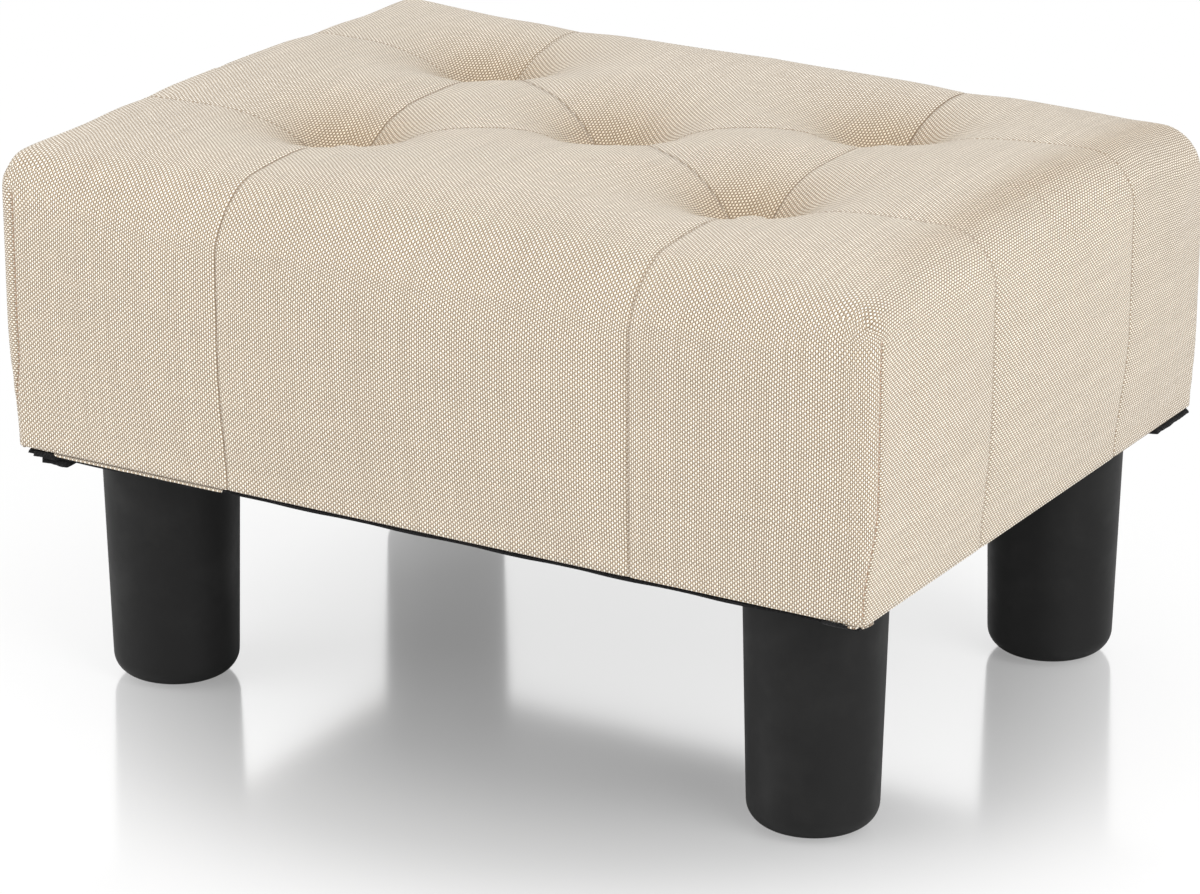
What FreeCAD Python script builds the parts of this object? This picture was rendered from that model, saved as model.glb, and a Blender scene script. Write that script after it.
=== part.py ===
import FreeCAD, Part
import math
import os

# Upholstered footstool. Millimetres, +Z up, origin on the floor under the middle of the stool.
# +X runs along the long side, -Y is the front.

V = FreeCAD.Vector

# Driving sizes
body_length = 400.0          # cover at its bottom edge, along X
body_width = 302.0           # cover at its bottom edge, along Y
body_bulge = 4.2             # how far the walls swell out half way up, each side
leg_length = 107.0           # floor to the underside of the dust cover
seat_height = 242.5          # crown of the seat over the floor
rim_drop = 7.0               # how much lower the seat is at the start of its rolled edge
edge_roll = 27.0             # radius of the rolled top edge
cover_corner = 10.0          # radius of the cover's upright corners

leg_offset_x = 155.9         # leg centres from the middle
leg_offset_y = 107.8
leg_top_radius = 29.46
leg_foot_radius = 26.86
foot_edge_radius = 9.0
leg_wall = 2.5
pad_radius = 16.5
pad_thick = 3.0
pad_proud = 1.5              # how far the pad stands out of the foot

fabric = 1.2                 # cover thickness
wadding = 5.0                # wadding over foam and rails
soft_clearance = 0.2         # wadding inside the cover
dust_cover_thick = 0.6
rail_thick = 11.0
seat_stack = 50.7            # top board to the crown: foam, wadding and cover
board_thick = 12.0
block_side = 64.0
block_height = 25.0

tuft_x = 97.0                # outer buttons from the middle
tuft_y = 58.0
tuft_depth = 17.0            # button seat below the crown
tuft_spread = 52.0           # radius where a dimple meets the seat
button_radius = 10.0
button_height = 5.6
seam_x = 96.0                # seams that run along Y
seam_y = 60.0                # seams that run along X

bolt_radius = 3.95           # M8 shank, modelled plain
bolt_length = 30.0
bolt_head = 5.3
bolt_head_flats = 13.0
thread_clearance = 0.05      # bolt in tee nut, radial
press_clearance = 0.02       # pieces pushed into a seat, radial
hole_clearance = 1.0         # twine and bolt pass-through holes, radial

# Heights that follow from them
dust_low = leg_length
hem_low = dust_low + dust_cover_thick
rail_low = hem_low + fabric
board_top = seat_height - seat_stack
rail_top = board_top - board_thick
rail_height = rail_top - rail_low
block_top = hem_low + block_height
frame_half_x = body_length / 2 - 2.5
frame_half_y = body_width / 2 - 2.5
inner_half_x = frame_half_x - rail_thick
inner_half_y = frame_half_y - rail_thick
roll_start = seat_height - rim_drop - edge_roll
button_seat = seat_height - tuft_depth
cap_thick = 10.0
cap_low = leg_length - cap_thick

tufts = {
    "front_left": (-tuft_x, -tuft_y),
    "back_left": (-tuft_x, tuft_y),
    "centre": (0.0, 0.0),
    "front_right": (tuft_x, -tuft_y),
    "back_right": (tuft_x, tuft_y),
}
corners = {
    "front_left": (-1, -1),
    "front_right": (1, -1),
    "back_left": (-1, 1),
    "back_right": (1, 1),
}


# Helpers
def box(x0, x1, y0, y1, z0, z1):
    return Part.makeBox(x1 - x0, y1 - y0, z1 - z0, V(x0, y0, z0))


def rod(x, y, z0, z1, radius):
    return Part.makeCylinder(radius, z1 - z0, V(x, y, z0))


def prism(points, z0, z1):
    wire = Part.makePolygon([V(x, y, z0) for x, y in points + points[:1]])
    return Part.Face(wire).extrude(V(0, 0, z1 - z0))


def turned(points, x=0.0, y=0.0):
    # a solid of revolution from a closed outline of (radius, height) points
    wire = Part.makePolygon([V(r, 0, z) for r, z in points + points[:1]])
    solid = Part.Face(wire).revolve(V(0, 0, 0), V(0, 0, 1), 360)
    solid.translate(V(x, y, 0))
    return solid


def hexagon(x, y, z0, z1, flats):
    reach = flats / 2 / math.cos(math.pi / 6)
    points = []
    for i in range(6):
        angle = math.pi / 3 * i
        points.append((x + reach * math.cos(angle), y + reach * math.sin(angle)))
    return prism(points, z0, z1)


def group(shapes):
    return Part.makeCompound(shapes)


# The padded body. One outline serves the fabric, the wadding and the foam, each further in.
def wall_profile(half, inset, crown_rise, top):
    # upright section of the body: swelling wall, rolled edge and crown, as arcs in (u, z)
    out = half + body_bulge - inset
    foot = half - inset
    roll = edge_roll - inset * 0.5
    rim = top - inset - crown_rise
    middle = hem_low + (roll_start - hem_low) * 0.6
    k = roll * math.sqrt(0.5)
    edges = [Part.makeLine(V(-foot, 0, hem_low), V(foot, 0, hem_low))]
    for s in (1, -1):
        bend = V(s * (foot + 3 * out) / 4, 0, (hem_low + middle) / 2)
        swell = V(s * out, 0, middle)
        start = V(s * out, 0, rim - roll)
        edges.append(Part.Arc(V(s * foot, 0, hem_low), bend, swell).toShape())
        edges.append(Part.makeLine(swell, start))
        turn = V(s * (out - roll + k), 0, rim - roll + k)
        edges.append(Part.Arc(start, turn, V(s * (out - roll), 0, rim)).toShape())
    right = V(out - roll, 0, rim)
    left = V(roll - out, 0, rim)
    if crown_rise > 0:
        edges.append(Part.Arc(right, V(0, 0, top - inset), left).toShape())
    else:
        edges.append(Part.makeLine(right, left))
    return Part.Face(Part.Wire(Part.__sortEdges__(edges)))


def padded_body(inset, floor):
    # the long and the short section cross; their mitre is the dart at each upright corner
    reach = body_length
    long_run = wall_profile(body_length / 2, inset, 0.0, seat_height + 0.5)
    long_run.translate(V(0, -reach / 2, 0))
    long_run = long_run.extrude(V(0, reach, 0))
    short_run = wall_profile(body_width / 2, inset, rim_drop, seat_height)
    short_run.rotate(V(0, 0, 0), V(0, 0, 1), 90)
    short_run.translate(V(-reach, 0, 0))
    short_run = short_run.extrude(V(2 * reach, 0, 0))
    solid = long_run.common(short_run)
    half_x = body_length / 2 + body_bulge - inset
    half_y = body_width / 2 + body_bulge - inset
    plan = box(-half_x, half_x, -half_y, half_y, hem_low - 5, seat_height + 5)
    upright = [e for e in plan.Edges if abs(e.Vertexes[0].Z - e.Vertexes[1].Z) > 50]
    solid = solid.common(plan.makeFillet(cover_corner - inset * 0.5, upright))
    for x, y in tufts.values():
        solid = sink_dimple(solid, x, y, inset)
    if floor > hem_low:
        solid = solid.cut(box(-half_x - 5, half_x + 5, -half_y - 5, half_y + 5, hem_low - 9, floor))
    return solid


def dimple(inset):
    # a funnel from the button seat up and out to the seat's surface
    low = button_seat - inset
    near = button_radius + 1.0 + inset * 0.6
    far = near + tuft_spread - button_radius
    return turned([
        (0, low),
        (near, low),
        (near + 13, low + tuft_depth * 0.52),
        (far, low + tuft_depth + 1.0),
        (far, low + tuft_depth + 20.0),
        (0, low + tuft_depth + 20.0),
    ])


def sink_dimple(solid, x, y, inset):
    # the funnel's seam line is turned until it cuts the seat cleanly
    funnel = dimple(inset)
    for angle in (45, 20, 70, 100, 160, 250, 300):
        tool = funnel.copy()
        tool.rotate(V(0, 0, 0), V(0, 0, 1), angle)
        tool.translate(V(x, y, 0))
        left = solid.cut(tool)
        taken = (solid.Volume - left.Volume) / funnel.Volume
        if left.isValid() and 0.08 < taken < 0.6:
            break
    return left


def all_twine_holes(z0, z1, radius):
    return group([rod(x, y, z0, z1, radius) for x, y in tufts.values()])


# Frame
def screw(length, head, shank):
    # a countersunk screw along +Z, head face at 0, point at -length
    return turned([(0, 0), (head, 0), (shank, -(head - shank)), (shank, -length + 3), (0, -length)])


def placed(shape, origin, direction):
    copy = shape.copy()
    turn = FreeCAD.Rotation(V(0, 0, 1), direction)
    copy.Placement = FreeCAD.Placement(origin, turn)
    return copy


def frame_screws():
    made = []
    one = screw(28.0, 3.6, 1.75)
    for sx, sy in corners.values():
        # into the block through the long rail and through the short rail
        z = hem_low + block_height / 2
        made.append(placed(one, V(sx * (leg_offset_x - 22), sy * frame_half_y, z), V(0, sy, 0)))
        made.append(placed(one, V(sx * frame_half_x, sy * (leg_offset_y - 22), z), V(sx, 0, 0)))
        # through the long rail into the end of the short rail
        for share in (0.3, 0.8):
            x = sx * (frame_half_x - rail_thick / 2)
            up = rail_low + rail_height * share
            made.append(placed(one, V(x, sy * frame_half_y, up), V(0, sy, 0)))
    return made


def board_screws():
    made = []
    one = screw(28.0, 3.6, 1.75)
    spots = [(-120, -1), (0, -1), (120, -1), (-120, 1), (0, 1), (120, 1)]
    for x, sy in spots:
        made.append(placed(one, V(x, sy * (frame_half_y - rail_thick / 2), board_top), V(0, 0, 1)))
    for sx in (-1, 1):
        for y in (-70, 70):
            made.append(placed(one, V(sx * (frame_half_x - rail_thick / 2), y, board_top), V(0, 0, 1)))
    return made


def staple(x, y, crown_low, along_x, wire=0.8, crown=10.0, reach=7.0):
    # crown below, two legs up
    half = crown / 2
    if along_x:
        bar = box(x - half, x + half, y - wire / 2, y + wire / 2, crown_low, crown_low + wire)
        legs = [box(x + s * half - (wire if s > 0 else 0), x + s * half + (wire if s < 0 else 0),
                    y - wire / 2, y + wire / 2, crown_low, crown_low + reach) for s in (-1, 1)]
    else:
        bar = box(x - wire / 2, x + wire / 2, y - half, y + half, crown_low, crown_low + wire)
        legs = [box(x - wire / 2, x + wire / 2, y + s * half - (wire if s > 0 else 0),
                    y + s * half + (wire if s < 0 else 0), crown_low, crown_low + reach) for s in (-1, 1)]
    return bar.fuse(legs).removeSplitter()


def edge_staples(shift, inset, crown_low, count_x, count_y):
    # staples along all four edges of the underside, inset from the frame's outer face
    made = []
    step_x = 2 * (frame_half_x - 22) / (count_x - 1)
    step_y = 2 * (frame_half_y - 22) / (count_y - 1)
    for sy in (-1, 1):
        for i in range(count_x):
            x = -(frame_half_x - 22) + step_x * i
            made.append(staple(x + shift * sy, sy * (frame_half_y - inset), crown_low, True))
    for sx in (-1, 1):
        for i in range(count_y):
            y = -(frame_half_y - 22) + step_y * i
            made.append(staple(sx * (frame_half_x - inset), y + shift * sx, crown_low, False))
    return made


def hem_staples():
    return edge_staples(0.0, 3.0, hem_low, 8, 6)


def dust_cover_staples():
    return edge_staples(9.0, 7.0, dust_low - 0.8, 8, 6)


def rail(name, cuts):
    if name == "front":
        solid = box(-frame_half_x, frame_half_x, -frame_half_y, -inner_half_y, rail_low, rail_top)
    elif name == "back":
        solid = box(-frame_half_x, frame_half_x, inner_half_y, frame_half_y, rail_low, rail_top)
    elif name == "left":
        solid = box(-frame_half_x, -inner_half_x, -inner_half_y, inner_half_y, rail_low, rail_top)
    else:
        solid = box(inner_half_x, frame_half_x, -inner_half_y, inner_half_y, rail_low, rail_top)
    return solid.cut(cuts)


def tee_nut(x, y):
    # round flange on the block, barrel down into it, four prongs bent down
    flange_low = block_top
    nut = rod(x, y, flange_low, flange_low + 1.5, 11.0)
    nut = nut.fuse(rod(x, y, flange_low - 11, flange_low + 0.1, 5.0))
    prongs = []
    for i in range(4):
        one = box(7.6, 9.2, -1.6, 1.6, flange_low - 6, flange_low + 0.1)
        one.rotate(V(0, 0, 0), V(0, 0, 1), 45 + 90 * i)
        one.translate(V(x, y, 0))
        prongs.append(one)
    nut = nut.fuse(prongs)
    return nut.cut(rod(x, y, flange_low - 12, flange_low + 3, bolt_radius + thread_clearance)).removeSplitter()


def corner_block(sx, sy, cuts):
    x0, x1 = sorted((sx * (inner_half_x - block_side), sx * inner_half_x))
    y0, y1 = sorted((sy * (inner_half_y - block_side), sy * inner_half_y))
    block = box(x0, x1, y0, y1, hem_low, block_top)
    x = sx * leg_offset_x
    y = sy * leg_offset_y
    block = block.cut(rod(x, y, hem_low - 1, block_top + 1, bolt_radius + hole_clearance))
    return block.cut(cuts)


def top_board(cuts):
    board = box(-frame_half_x, frame_half_x, -frame_half_y, frame_half_y, rail_top, board_top)
    board = board.cut(all_twine_holes(rail_top - 1, board_top + 1, 4.0))
    return board.cut(cuts)


# Soft parts over the frame
def seat_foam():
    foam = padded_body(fabric + wadding, board_top)
    return foam.cut(all_twine_holes(board_top - 1, seat_height, 4.0))


def wadding_wrap(foam_space):
    wrap = padded_body(fabric + soft_clearance, rail_low)
    wrap = wrap.cut(box(-frame_half_x, frame_half_x, -frame_half_y, frame_half_y, rail_low - 1, board_top))
    wrap = wrap.cut(foam_space)
    return wrap.cut(all_twine_holes(board_top, seat_height, 4.0))


def cover_shell(staples):
    shell = padded_body(0.0, hem_low)
    shell = shell.cut(padded_body(fabric, rail_low))
    opening = box(-inner_half_x, inner_half_x, -inner_half_y, inner_half_y, hem_low - 2, rail_low + 2)
    shell = shell.cut(opening)
    shell = shell.cut(all_twine_holes(board_top, seat_height, 2.6))
    return shell.cut(staples)


def cover_panels(shell):
    # the seams are upright planes, so each panel is the shell inside an upright prism
    far_x = body_length
    far_y = body_width
    z0 = hem_low - 5
    z1 = seat_height + 10
    outlines = {
        "cover_corner_front_left": [(-far_x, -far_y), (-seam_x, -far_y), (-seam_x, -seam_y), (-far_x, -seam_y)],
        "cover_corner_front_right": [(seam_x, -far_y), (far_x, -far_y), (far_x, -seam_y), (seam_x, -seam_y)],
        "cover_corner_back_left": [(-far_x, seam_y), (-seam_x, seam_y), (-seam_x, far_y), (-far_x, far_y)],
        "cover_corner_back_right": [(seam_x, seam_y), (far_x, seam_y), (far_x, far_y), (seam_x, far_y)],
        "cover_left": [(-far_x, -seam_y), (-seam_x, -seam_y), (-seam_x, seam_y), (-far_x, seam_y)],
        "cover_right": [(seam_x, -seam_y), (far_x, -seam_y), (far_x, seam_y), (seam_x, seam_y)],
        "cover_front": [(-seam_x, -far_y), (seam_x, -far_y), (seam_x, -seam_y), (0, 0), (-seam_x, -seam_y)],
        "cover_back": [(-seam_x, seam_y), (0, 0), (seam_x, seam_y), (seam_x, far_y), (-seam_x, far_y)],
        "cover_centre_left": [(-seam_x, -seam_y), (0, 0), (-seam_x, seam_y)],
        "cover_centre_right": [(seam_x, -seam_y), (seam_x, seam_y), (0, 0)],
    }
    return {name: shell.common(prism(points, z0, z1)) for name, points in outlines.items()}


# Tufting
def tuft_button(x, y):
    # a low dome on a short straight rim, hollow below for the back plate
    rim = 1.6
    outline = [(0, button_seat)]
    outline.append((button_radius, button_seat))
    steps = 8
    for i in range(steps + 1):
        a = math.pi / 2 * i / steps
        outline.append((button_radius * math.cos(a) if i < steps else 0,
                        button_seat + rim + (button_height - rim) * math.sin(a)))
    dome = turned(outline, x, y)
    return dome.cut(rod(x, y, button_seat - 1, button_seat + 1.2, 7.5 + press_clearance))


eye_radius = 3.0
wire_radius = 0.7


def half_ring(x, y, z, radius, wire, across_x, upward):
    # half a torus standing in the XZ plane (across_x) or the YZ plane
    ring = Part.makeTorus(radius, wire, V(0, 0, 0), V(0, 1, 0) if across_x else V(1, 0, 0))
    side = box(-20, 20, -20, 20, 0, 20) if upward else box(-20, 20, -20, 20, -20, 0)
    ring = ring.common(side)
    ring.translate(V(x, y, z))
    return ring


def button_back(x, y):
    # plate in the button with a wire eye below it, through the fabric
    plate = rod(x, y, button_seat, button_seat + 1.2, 7.5)
    return plate.fuse(half_ring(x, y, button_seat, 1.5, 0.6, True, False)).removeSplitter()


def tufting_twine(x, y):
    # a loop through the eye and two strands down to the anchor washer, tied off below it
    twine = 0.45
    arch = 1.5
    top = button_seat - 1.5 + 0.6 + 0.02 + twine
    z = top - arch
    loop = half_ring(x, y, z, arch, twine, False, True)
    low = rail_top - 3.0
    strands = [rod(x, y + s * arch, low, z, twine) for s in (-1, 1)]
    knot = Part.makeSphere(3.0, V(x, y, low - 1.5))
    knot = knot.cut(box(x - 5, x + 5, y - 5, y + 5, low - 0.0, low + 5))
    return loop.fuse(strands + [knot]).removeSplitter()


def twine_anchor(x, y):
    # washer under the board with two holes for the strands
    washer = rod(x, y, rail_top - 2.0, rail_top, 11.0)
    return washer.cut([rod(x, y + s * 1.5, rail_top - 3, rail_top + 1, 0.5) for s in (-1, 1)])


# Underside
def dust_cover(staples):
    sheet = box(-body_length / 2 + 1, body_length / 2 - 1, -body_width / 2 + 1, body_width / 2 - 1,
                dust_low, hem_low)
    for sx, sy in corners.values():
        sheet = sheet.cut(rod(sx * leg_offset_x, sy * leg_offset_y, dust_low - 1, hem_low + 1,
                              bolt_radius + hole_clearance))
    return sheet.cut(staples)


# Legs
def outer_radius(z):
    t = (z - pad_proud) / (leg_length - pad_proud)
    return leg_foot_radius + (leg_top_radius - leg_foot_radius) * t


def leg_shell(x, y):
    foot = pad_proud
    outline = [(0, foot)]
    steps = 8
    for i in range(steps + 1):
        a = math.pi / 2 * i / steps
        outline.append((leg_foot_radius - foot_edge_radius * (1 - math.sin(a)),
                        foot + foot_edge_radius * (1 - math.cos(a))))
    outline.append((leg_top_radius, leg_length))
    outline.append((0, leg_length))
    body = turned(outline)
    floor = foot + 4.0
    step_in = foot_edge_radius + 1.0
    cavity = turned([(0, floor), (leg_foot_radius - step_in, floor),
                     (outer_radius(floor + step_in) - leg_wall, floor + step_in),
                     (outer_radius(cap_low) - leg_wall, cap_low), (0, cap_low)])
    inside = [rod(0, 0, floor - 1, cap_low, 8.5)]
    for i in range(4):
        web = box(5, leg_top_radius, -1.1, 1.1, floor - 1, cap_low)
        web.rotate(V(0, 0, 0), V(0, 0, 1), 90 * i)
        inside.append(web)
    cavity = cavity.cut(inside)
    body = body.cut(cavity)
    body = body.cut(rod(0, 0, cap_low, leg_length + 1, cap_radius() + press_clearance))
    body = body.cut(rod(0, 0, floor + 8, cap_low + 1, 4.6))
    body = body.cut(rod(0, 0, foot - 1, pad_thick, pad_radius + press_clearance))
    body.translate(V(x, y, 0))
    return body


def cap_radius():
    return leg_top_radius - leg_wall - 0.6


def leg_cap(x, y):
    cap = rod(x, y, cap_low, leg_length, cap_radius())
    cap = cap.cut(hexagon(x, y, cap_low - 1, cap_low + bolt_head, bolt_head_flats + 2 * press_clearance))
    return cap.cut(rod(x, y, cap_low, leg_length + 1, bolt_radius + 0.1))


def leg_bolt(x, y):
    head = hexagon(x, y, cap_low, cap_low + bolt_head, bolt_head_flats)
    top = cap_low + bolt_head + bolt_length
    shank = turned([(0, cap_low + 1), (bolt_radius, cap_low + 1), (bolt_radius, top - 1),
                    (bolt_radius - 1, top), (0, top)], x, y)
    return head.fuse(shank).removeSplitter()


def foot_pad(x, y):
    return rod(x, y, 0, pad_thick, pad_radius)


# Everything together
def build():
    nodes = {}
    nails = frame_screws()
    top_screws = board_screws()
    hem_pins = hem_staples()
    dust_pins = dust_cover_staples()
    wood_cuts = nails + top_screws + hem_pins + dust_pins
    for name in ("front", "back", "left", "right"):
        nodes["frame_rail_" + name] = rail(name, wood_cuts)
    nuts = []
    for sx, sy in corners.values():
        nuts.append(tee_nut(sx * leg_offset_x, sy * leg_offset_y))
    for name, (sx, sy) in corners.items():
        nodes["corner_block_" + name] = corner_block(sx, sy, nuts + nails)
    nodes["top_board"] = top_board(top_screws)
    nodes["tee_nuts"] = group(nuts)
    nodes["frame_screws"] = group(nails)
    nodes["top_board_screws"] = group(top_screws)

    foam_space = padded_body(fabric + wadding, board_top)
    nodes["seat_foam"] = seat_foam()
    nodes["wadding_wrap"] = wadding_wrap(foam_space)
    nodes.update(cover_panels(cover_shell(hem_pins + dust_pins)))

    for name, (x, y) in tufts.items():
        nodes["tuft_button_" + name] = tuft_button(x, y)
    nodes["button_backs"] = group([button_back(x, y) for x, y in tufts.values()])
    nodes["tufting_twines"] = group([tufting_twine(x, y) for x, y in tufts.values()])
    nodes["twine_anchors"] = group([twine_anchor(x, y) for x, y in tufts.values()])

    nodes["dust_cover"] = dust_cover(dust_pins)
    nodes["hem_staples"] = group(hem_pins)
    nodes["dust_cover_staples"] = group(dust_pins)

    for name, (sx, sy) in corners.items():
        x = sx * leg_offset_x
        y = sy * leg_offset_y
        nodes["leg_shell_" + name] = leg_shell(x, y)
        nodes["leg_cap_" + name] = leg_cap(x, y)
        nodes["leg_bolt_" + name] = leg_bolt(x, y)
        nodes["foot_pad_" + name] = foot_pad(x, y)
    return nodes


os.makedirs("parts", exist_ok=True)
for node, shape in build().items():
    shape.exportStep("parts/" + node + ".step")
    print(node, len(shape.Solids), round(shape.Volume / 1000, 2), shape.isValid())
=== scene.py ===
# %% [markdown]
# # Upholstered footstool
# This file dresses a finished CAD model. The CAD gives every piece its place and size, and says
# which pieces move. Here the soft pieces get their real surfaces and every piece gets its finish.
# All sizes below are in millimetres, as on a maker's drawing, and turn into metres at the end.

# %% Load the frame and measure the CAD box
import bpy
import math
import numpy as np
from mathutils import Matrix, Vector


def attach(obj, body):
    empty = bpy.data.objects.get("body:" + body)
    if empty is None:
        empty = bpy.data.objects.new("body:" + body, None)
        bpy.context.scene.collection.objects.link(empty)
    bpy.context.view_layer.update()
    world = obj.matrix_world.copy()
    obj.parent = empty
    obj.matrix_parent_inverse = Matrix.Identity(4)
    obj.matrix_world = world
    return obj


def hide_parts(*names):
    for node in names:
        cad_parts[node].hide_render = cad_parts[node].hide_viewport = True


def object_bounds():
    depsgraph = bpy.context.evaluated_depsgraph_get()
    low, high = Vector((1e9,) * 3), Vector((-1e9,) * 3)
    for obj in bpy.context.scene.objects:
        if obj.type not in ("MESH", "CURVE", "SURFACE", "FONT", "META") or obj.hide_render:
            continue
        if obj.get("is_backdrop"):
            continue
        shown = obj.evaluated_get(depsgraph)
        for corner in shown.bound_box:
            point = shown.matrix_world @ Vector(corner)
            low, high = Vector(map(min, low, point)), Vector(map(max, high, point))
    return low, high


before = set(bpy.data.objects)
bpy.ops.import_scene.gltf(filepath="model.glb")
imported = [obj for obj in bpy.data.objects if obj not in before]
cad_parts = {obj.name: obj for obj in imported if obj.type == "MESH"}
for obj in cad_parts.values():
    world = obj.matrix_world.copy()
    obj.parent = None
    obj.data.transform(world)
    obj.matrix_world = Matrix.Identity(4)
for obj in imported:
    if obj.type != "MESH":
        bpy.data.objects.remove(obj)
cad_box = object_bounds()
MM = 0.001

# %% [markdown]
# ## Camera
# The camera stands where the photographer stood. Its place comes from fitting the stool's edges
# and feet to the picture, which also gave the stool's proportions. A long lens keeps it calm.

# %% Camera
scene = bpy.context.scene
scene.view_settings.view_transform = "Standard"
AIM = Vector((7.774, -26.339, 107.43)) * MM
AZIMUTH, ELEVATION, DISTANCE = math.radians(30.79), math.radians(19.92), 2.1516
back = Vector((math.sin(AZIMUTH) * math.cos(ELEVATION), -math.cos(AZIMUTH) * math.cos(ELEVATION),
               math.sin(ELEVATION)))
lens = bpy.data.cameras.new("camera")
lens.sensor_width = 36.0
lens.lens = 152.96
lens.clip_start, lens.clip_end = 0.05, 60
camera = bpy.data.objects.new("camera", lens)
camera.location = AIM + back * DISTANCE
camera.rotation_mode = "QUATERNION"
camera.rotation_quaternion = (-back).to_track_quat("-Z", "Y")
scene.collection.objects.link(camera)
scene.camera = camera
print("camera at", tuple(round(c, 3) for c in camera.location))

# %% [markdown]
# ## Floor and light
# A plain studio picture: a white sweep that meets no visible wall, one large soft lamp from the
# right and above, a weaker one from the left front and a faint one overhead. The floor keeps the
# shadows, and where no shadow falls the camera sees plain white. Close to the stool the floor
# shines, as lacquered board does, and mirrors the legs; further out it turns matte and white. Seen
# from below it is clear, so that the underside can be looked at. The floor is only a stage: it is
# no part of the stool.

# %% Floor
def node(tree, kind, **values):
    """A new shader node with its plain properties set."""
    made = tree.nodes.new(kind)
    for key, value in values.items():
        setattr(made, key, value)
    return made


def wire(tree, start, end):
    tree.links.new(start, end)


FLOOR_HALF = 14.0                      # metres, so that its edge is never in view
floor_mesh = bpy.data.meshes.new("floor")
floor_mesh.from_pydata([(-FLOOR_HALF, -FLOOR_HALF, 0), (FLOOR_HALF, -FLOOR_HALF, 0),
                        (FLOOR_HALF, FLOOR_HALF, 0), (-FLOOR_HALF, FLOOR_HALF, 0)],
                       [], [(0, 1, 2, 3)])
floor = bpy.data.objects.new("floor", floor_mesh)
scene.collection.objects.link(floor)
floor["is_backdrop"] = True
print("floor", 2 * FLOOR_HALF, "m wide")

# %% White sweep
SHINE = (0.20, 0.34, 0.64, 0.14)       # from and to which distance in metres, and its share at both
WHITENING = (0.12, 0.37, 0.20, 0.96)   # the same, for the plain white that the camera sees

paper = bpy.data.materials.new("white_sweep")
paper.use_nodes = True
tree = paper.node_tree
tree.nodes.clear()


def by_distance(tree, near, far, at_near, at_far):
    """A value that changes with the distance from the stool's middle, along the floor."""
    place = node(tree, "ShaderNodeNewGeometry").outputs["Position"]
    away = node(tree, "ShaderNodeVectorMath", operation="LENGTH")
    wire(tree, place, away.inputs[0])
    made = node(tree, "ShaderNodeMapRange", interpolation_type="SMOOTHSTEP")
    wire(tree, away.outputs["Value"], made.inputs["Value"])
    for label, value in (("From Min", near), ("From Max", far), ("To Min", at_near),
                         ("To Max", at_far)):
        made.inputs[label].default_value = value
    return made.outputs[0]


matte = node(tree, "ShaderNodeBsdfDiffuse")
matte.inputs["Color"].default_value = (0.95, 0.95, 0.95, 1)
gloss = node(tree, "ShaderNodeBsdfAnisotropic")
gloss.inputs["Color"].default_value = (1.0, 1.0, 1.0, 1)
gloss.inputs["Roughness"].default_value = 0.13
polished = node(tree, "ShaderNodeMixShader")
wire(tree, by_distance(tree, *SHINE), polished.inputs[0])
wire(tree, matte.outputs[0], polished.inputs[1])
wire(tree, gloss.outputs[0], polished.inputs[2])
plain_white = node(tree, "ShaderNodeEmission")
plain_white.inputs["Strength"].default_value = 1.0
seen_by_camera = node(tree, "ShaderNodeLightPath").outputs["Is Camera Ray"]
whitened = node(tree, "ShaderNodeMath", operation="MULTIPLY")
wire(tree, seen_by_camera, whitened.inputs[0])
wire(tree, by_distance(tree, *WHITENING), whitened.inputs[1])
paper_shade = node(tree, "ShaderNodeMixShader")
wire(tree, whitened.outputs[0], paper_shade.inputs[0])
wire(tree, polished.outputs[0], paper_shade.inputs[1])
wire(tree, plain_white.outputs[0], paper_shade.inputs[2])
from_below = node(tree, "ShaderNodeMixShader")
wire(tree, node(tree, "ShaderNodeNewGeometry").outputs["Backfacing"], from_below.inputs[0])
wire(tree, paper_shade.outputs[0], from_below.inputs[1])
wire(tree, node(tree, "ShaderNodeBsdfTransparent").outputs[0], from_below.inputs[2])
out = node(tree, "ShaderNodeOutputMaterial")
wire(tree, from_below.outputs[0], out.inputs[0])
floor_mesh.materials.append(paper)
print("white sweep:", len(tree.nodes), "nodes")

# %% Sky
# The sky lights the stool a little below full white; seen directly or in a reflection it is white.
SKY_LIGHT, SKY_SEEN = 0.75, 1.0
world = bpy.data.worlds.new("studio")
scene.world = world
world.use_nodes = True
tree = world.node_tree
tree.nodes.clear()
sky = node(tree, "ShaderNodeBackground")
sky.inputs["Color"].default_value = (1, 1, 1, 1)
seen = node(tree, "ShaderNodeBackground")
seen.inputs["Color"].default_value = (1, 1, 1, 1)
sky.inputs["Strength"].default_value = SKY_LIGHT
seen.inputs["Strength"].default_value = SKY_SEEN
path = node(tree, "ShaderNodeLightPath")
either = node(tree, "ShaderNodeMath", operation="MAXIMUM")
mixed = node(tree, "ShaderNodeMixShader")
out = node(tree, "ShaderNodeOutputWorld")
wire(tree, path.outputs["Is Camera Ray"], either.inputs[0])
wire(tree, path.outputs["Is Glossy Ray"], either.inputs[1])
wire(tree, either.outputs[0], mixed.inputs[0])
wire(tree, sky.outputs[0], mixed.inputs[1])
wire(tree, seen.outputs[0], mixed.inputs[2])
wire(tree, mixed.outputs[0], out.inputs[0])
print("sky strength", SKY_LIGHT)

# %% Lamps
LAMPS_AIM = Vector((0, 0, 0.15))       # the middle of the seat's body


def lamp(name, place, size, watts):
    """A soft box: a rectangle of light that faces the stool."""
    data = bpy.data.lights.new(name, "AREA")
    data.shape = "RECTANGLE"
    data.size, data.size_y = size
    data.energy = watts
    made = bpy.data.objects.new(name, data)
    made.location = place
    made.rotation_mode = "QUATERNION"
    made.rotation_quaternion = (Vector(place) - LAMPS_AIM).to_track_quat("Z", "Y")
    scene.collection.objects.link(made)


lamp("key_softbox", (2.1, -0.7, 1.6), (1.6, 1.6), 37)
lamp("fill_softbox", (-1.5, -1.8, 1.2), (1.8, 1.4), 26)
lamp("top_softbox", (-0.1, 0.5, 2.4), (2.2, 1.8), 8)

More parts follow.
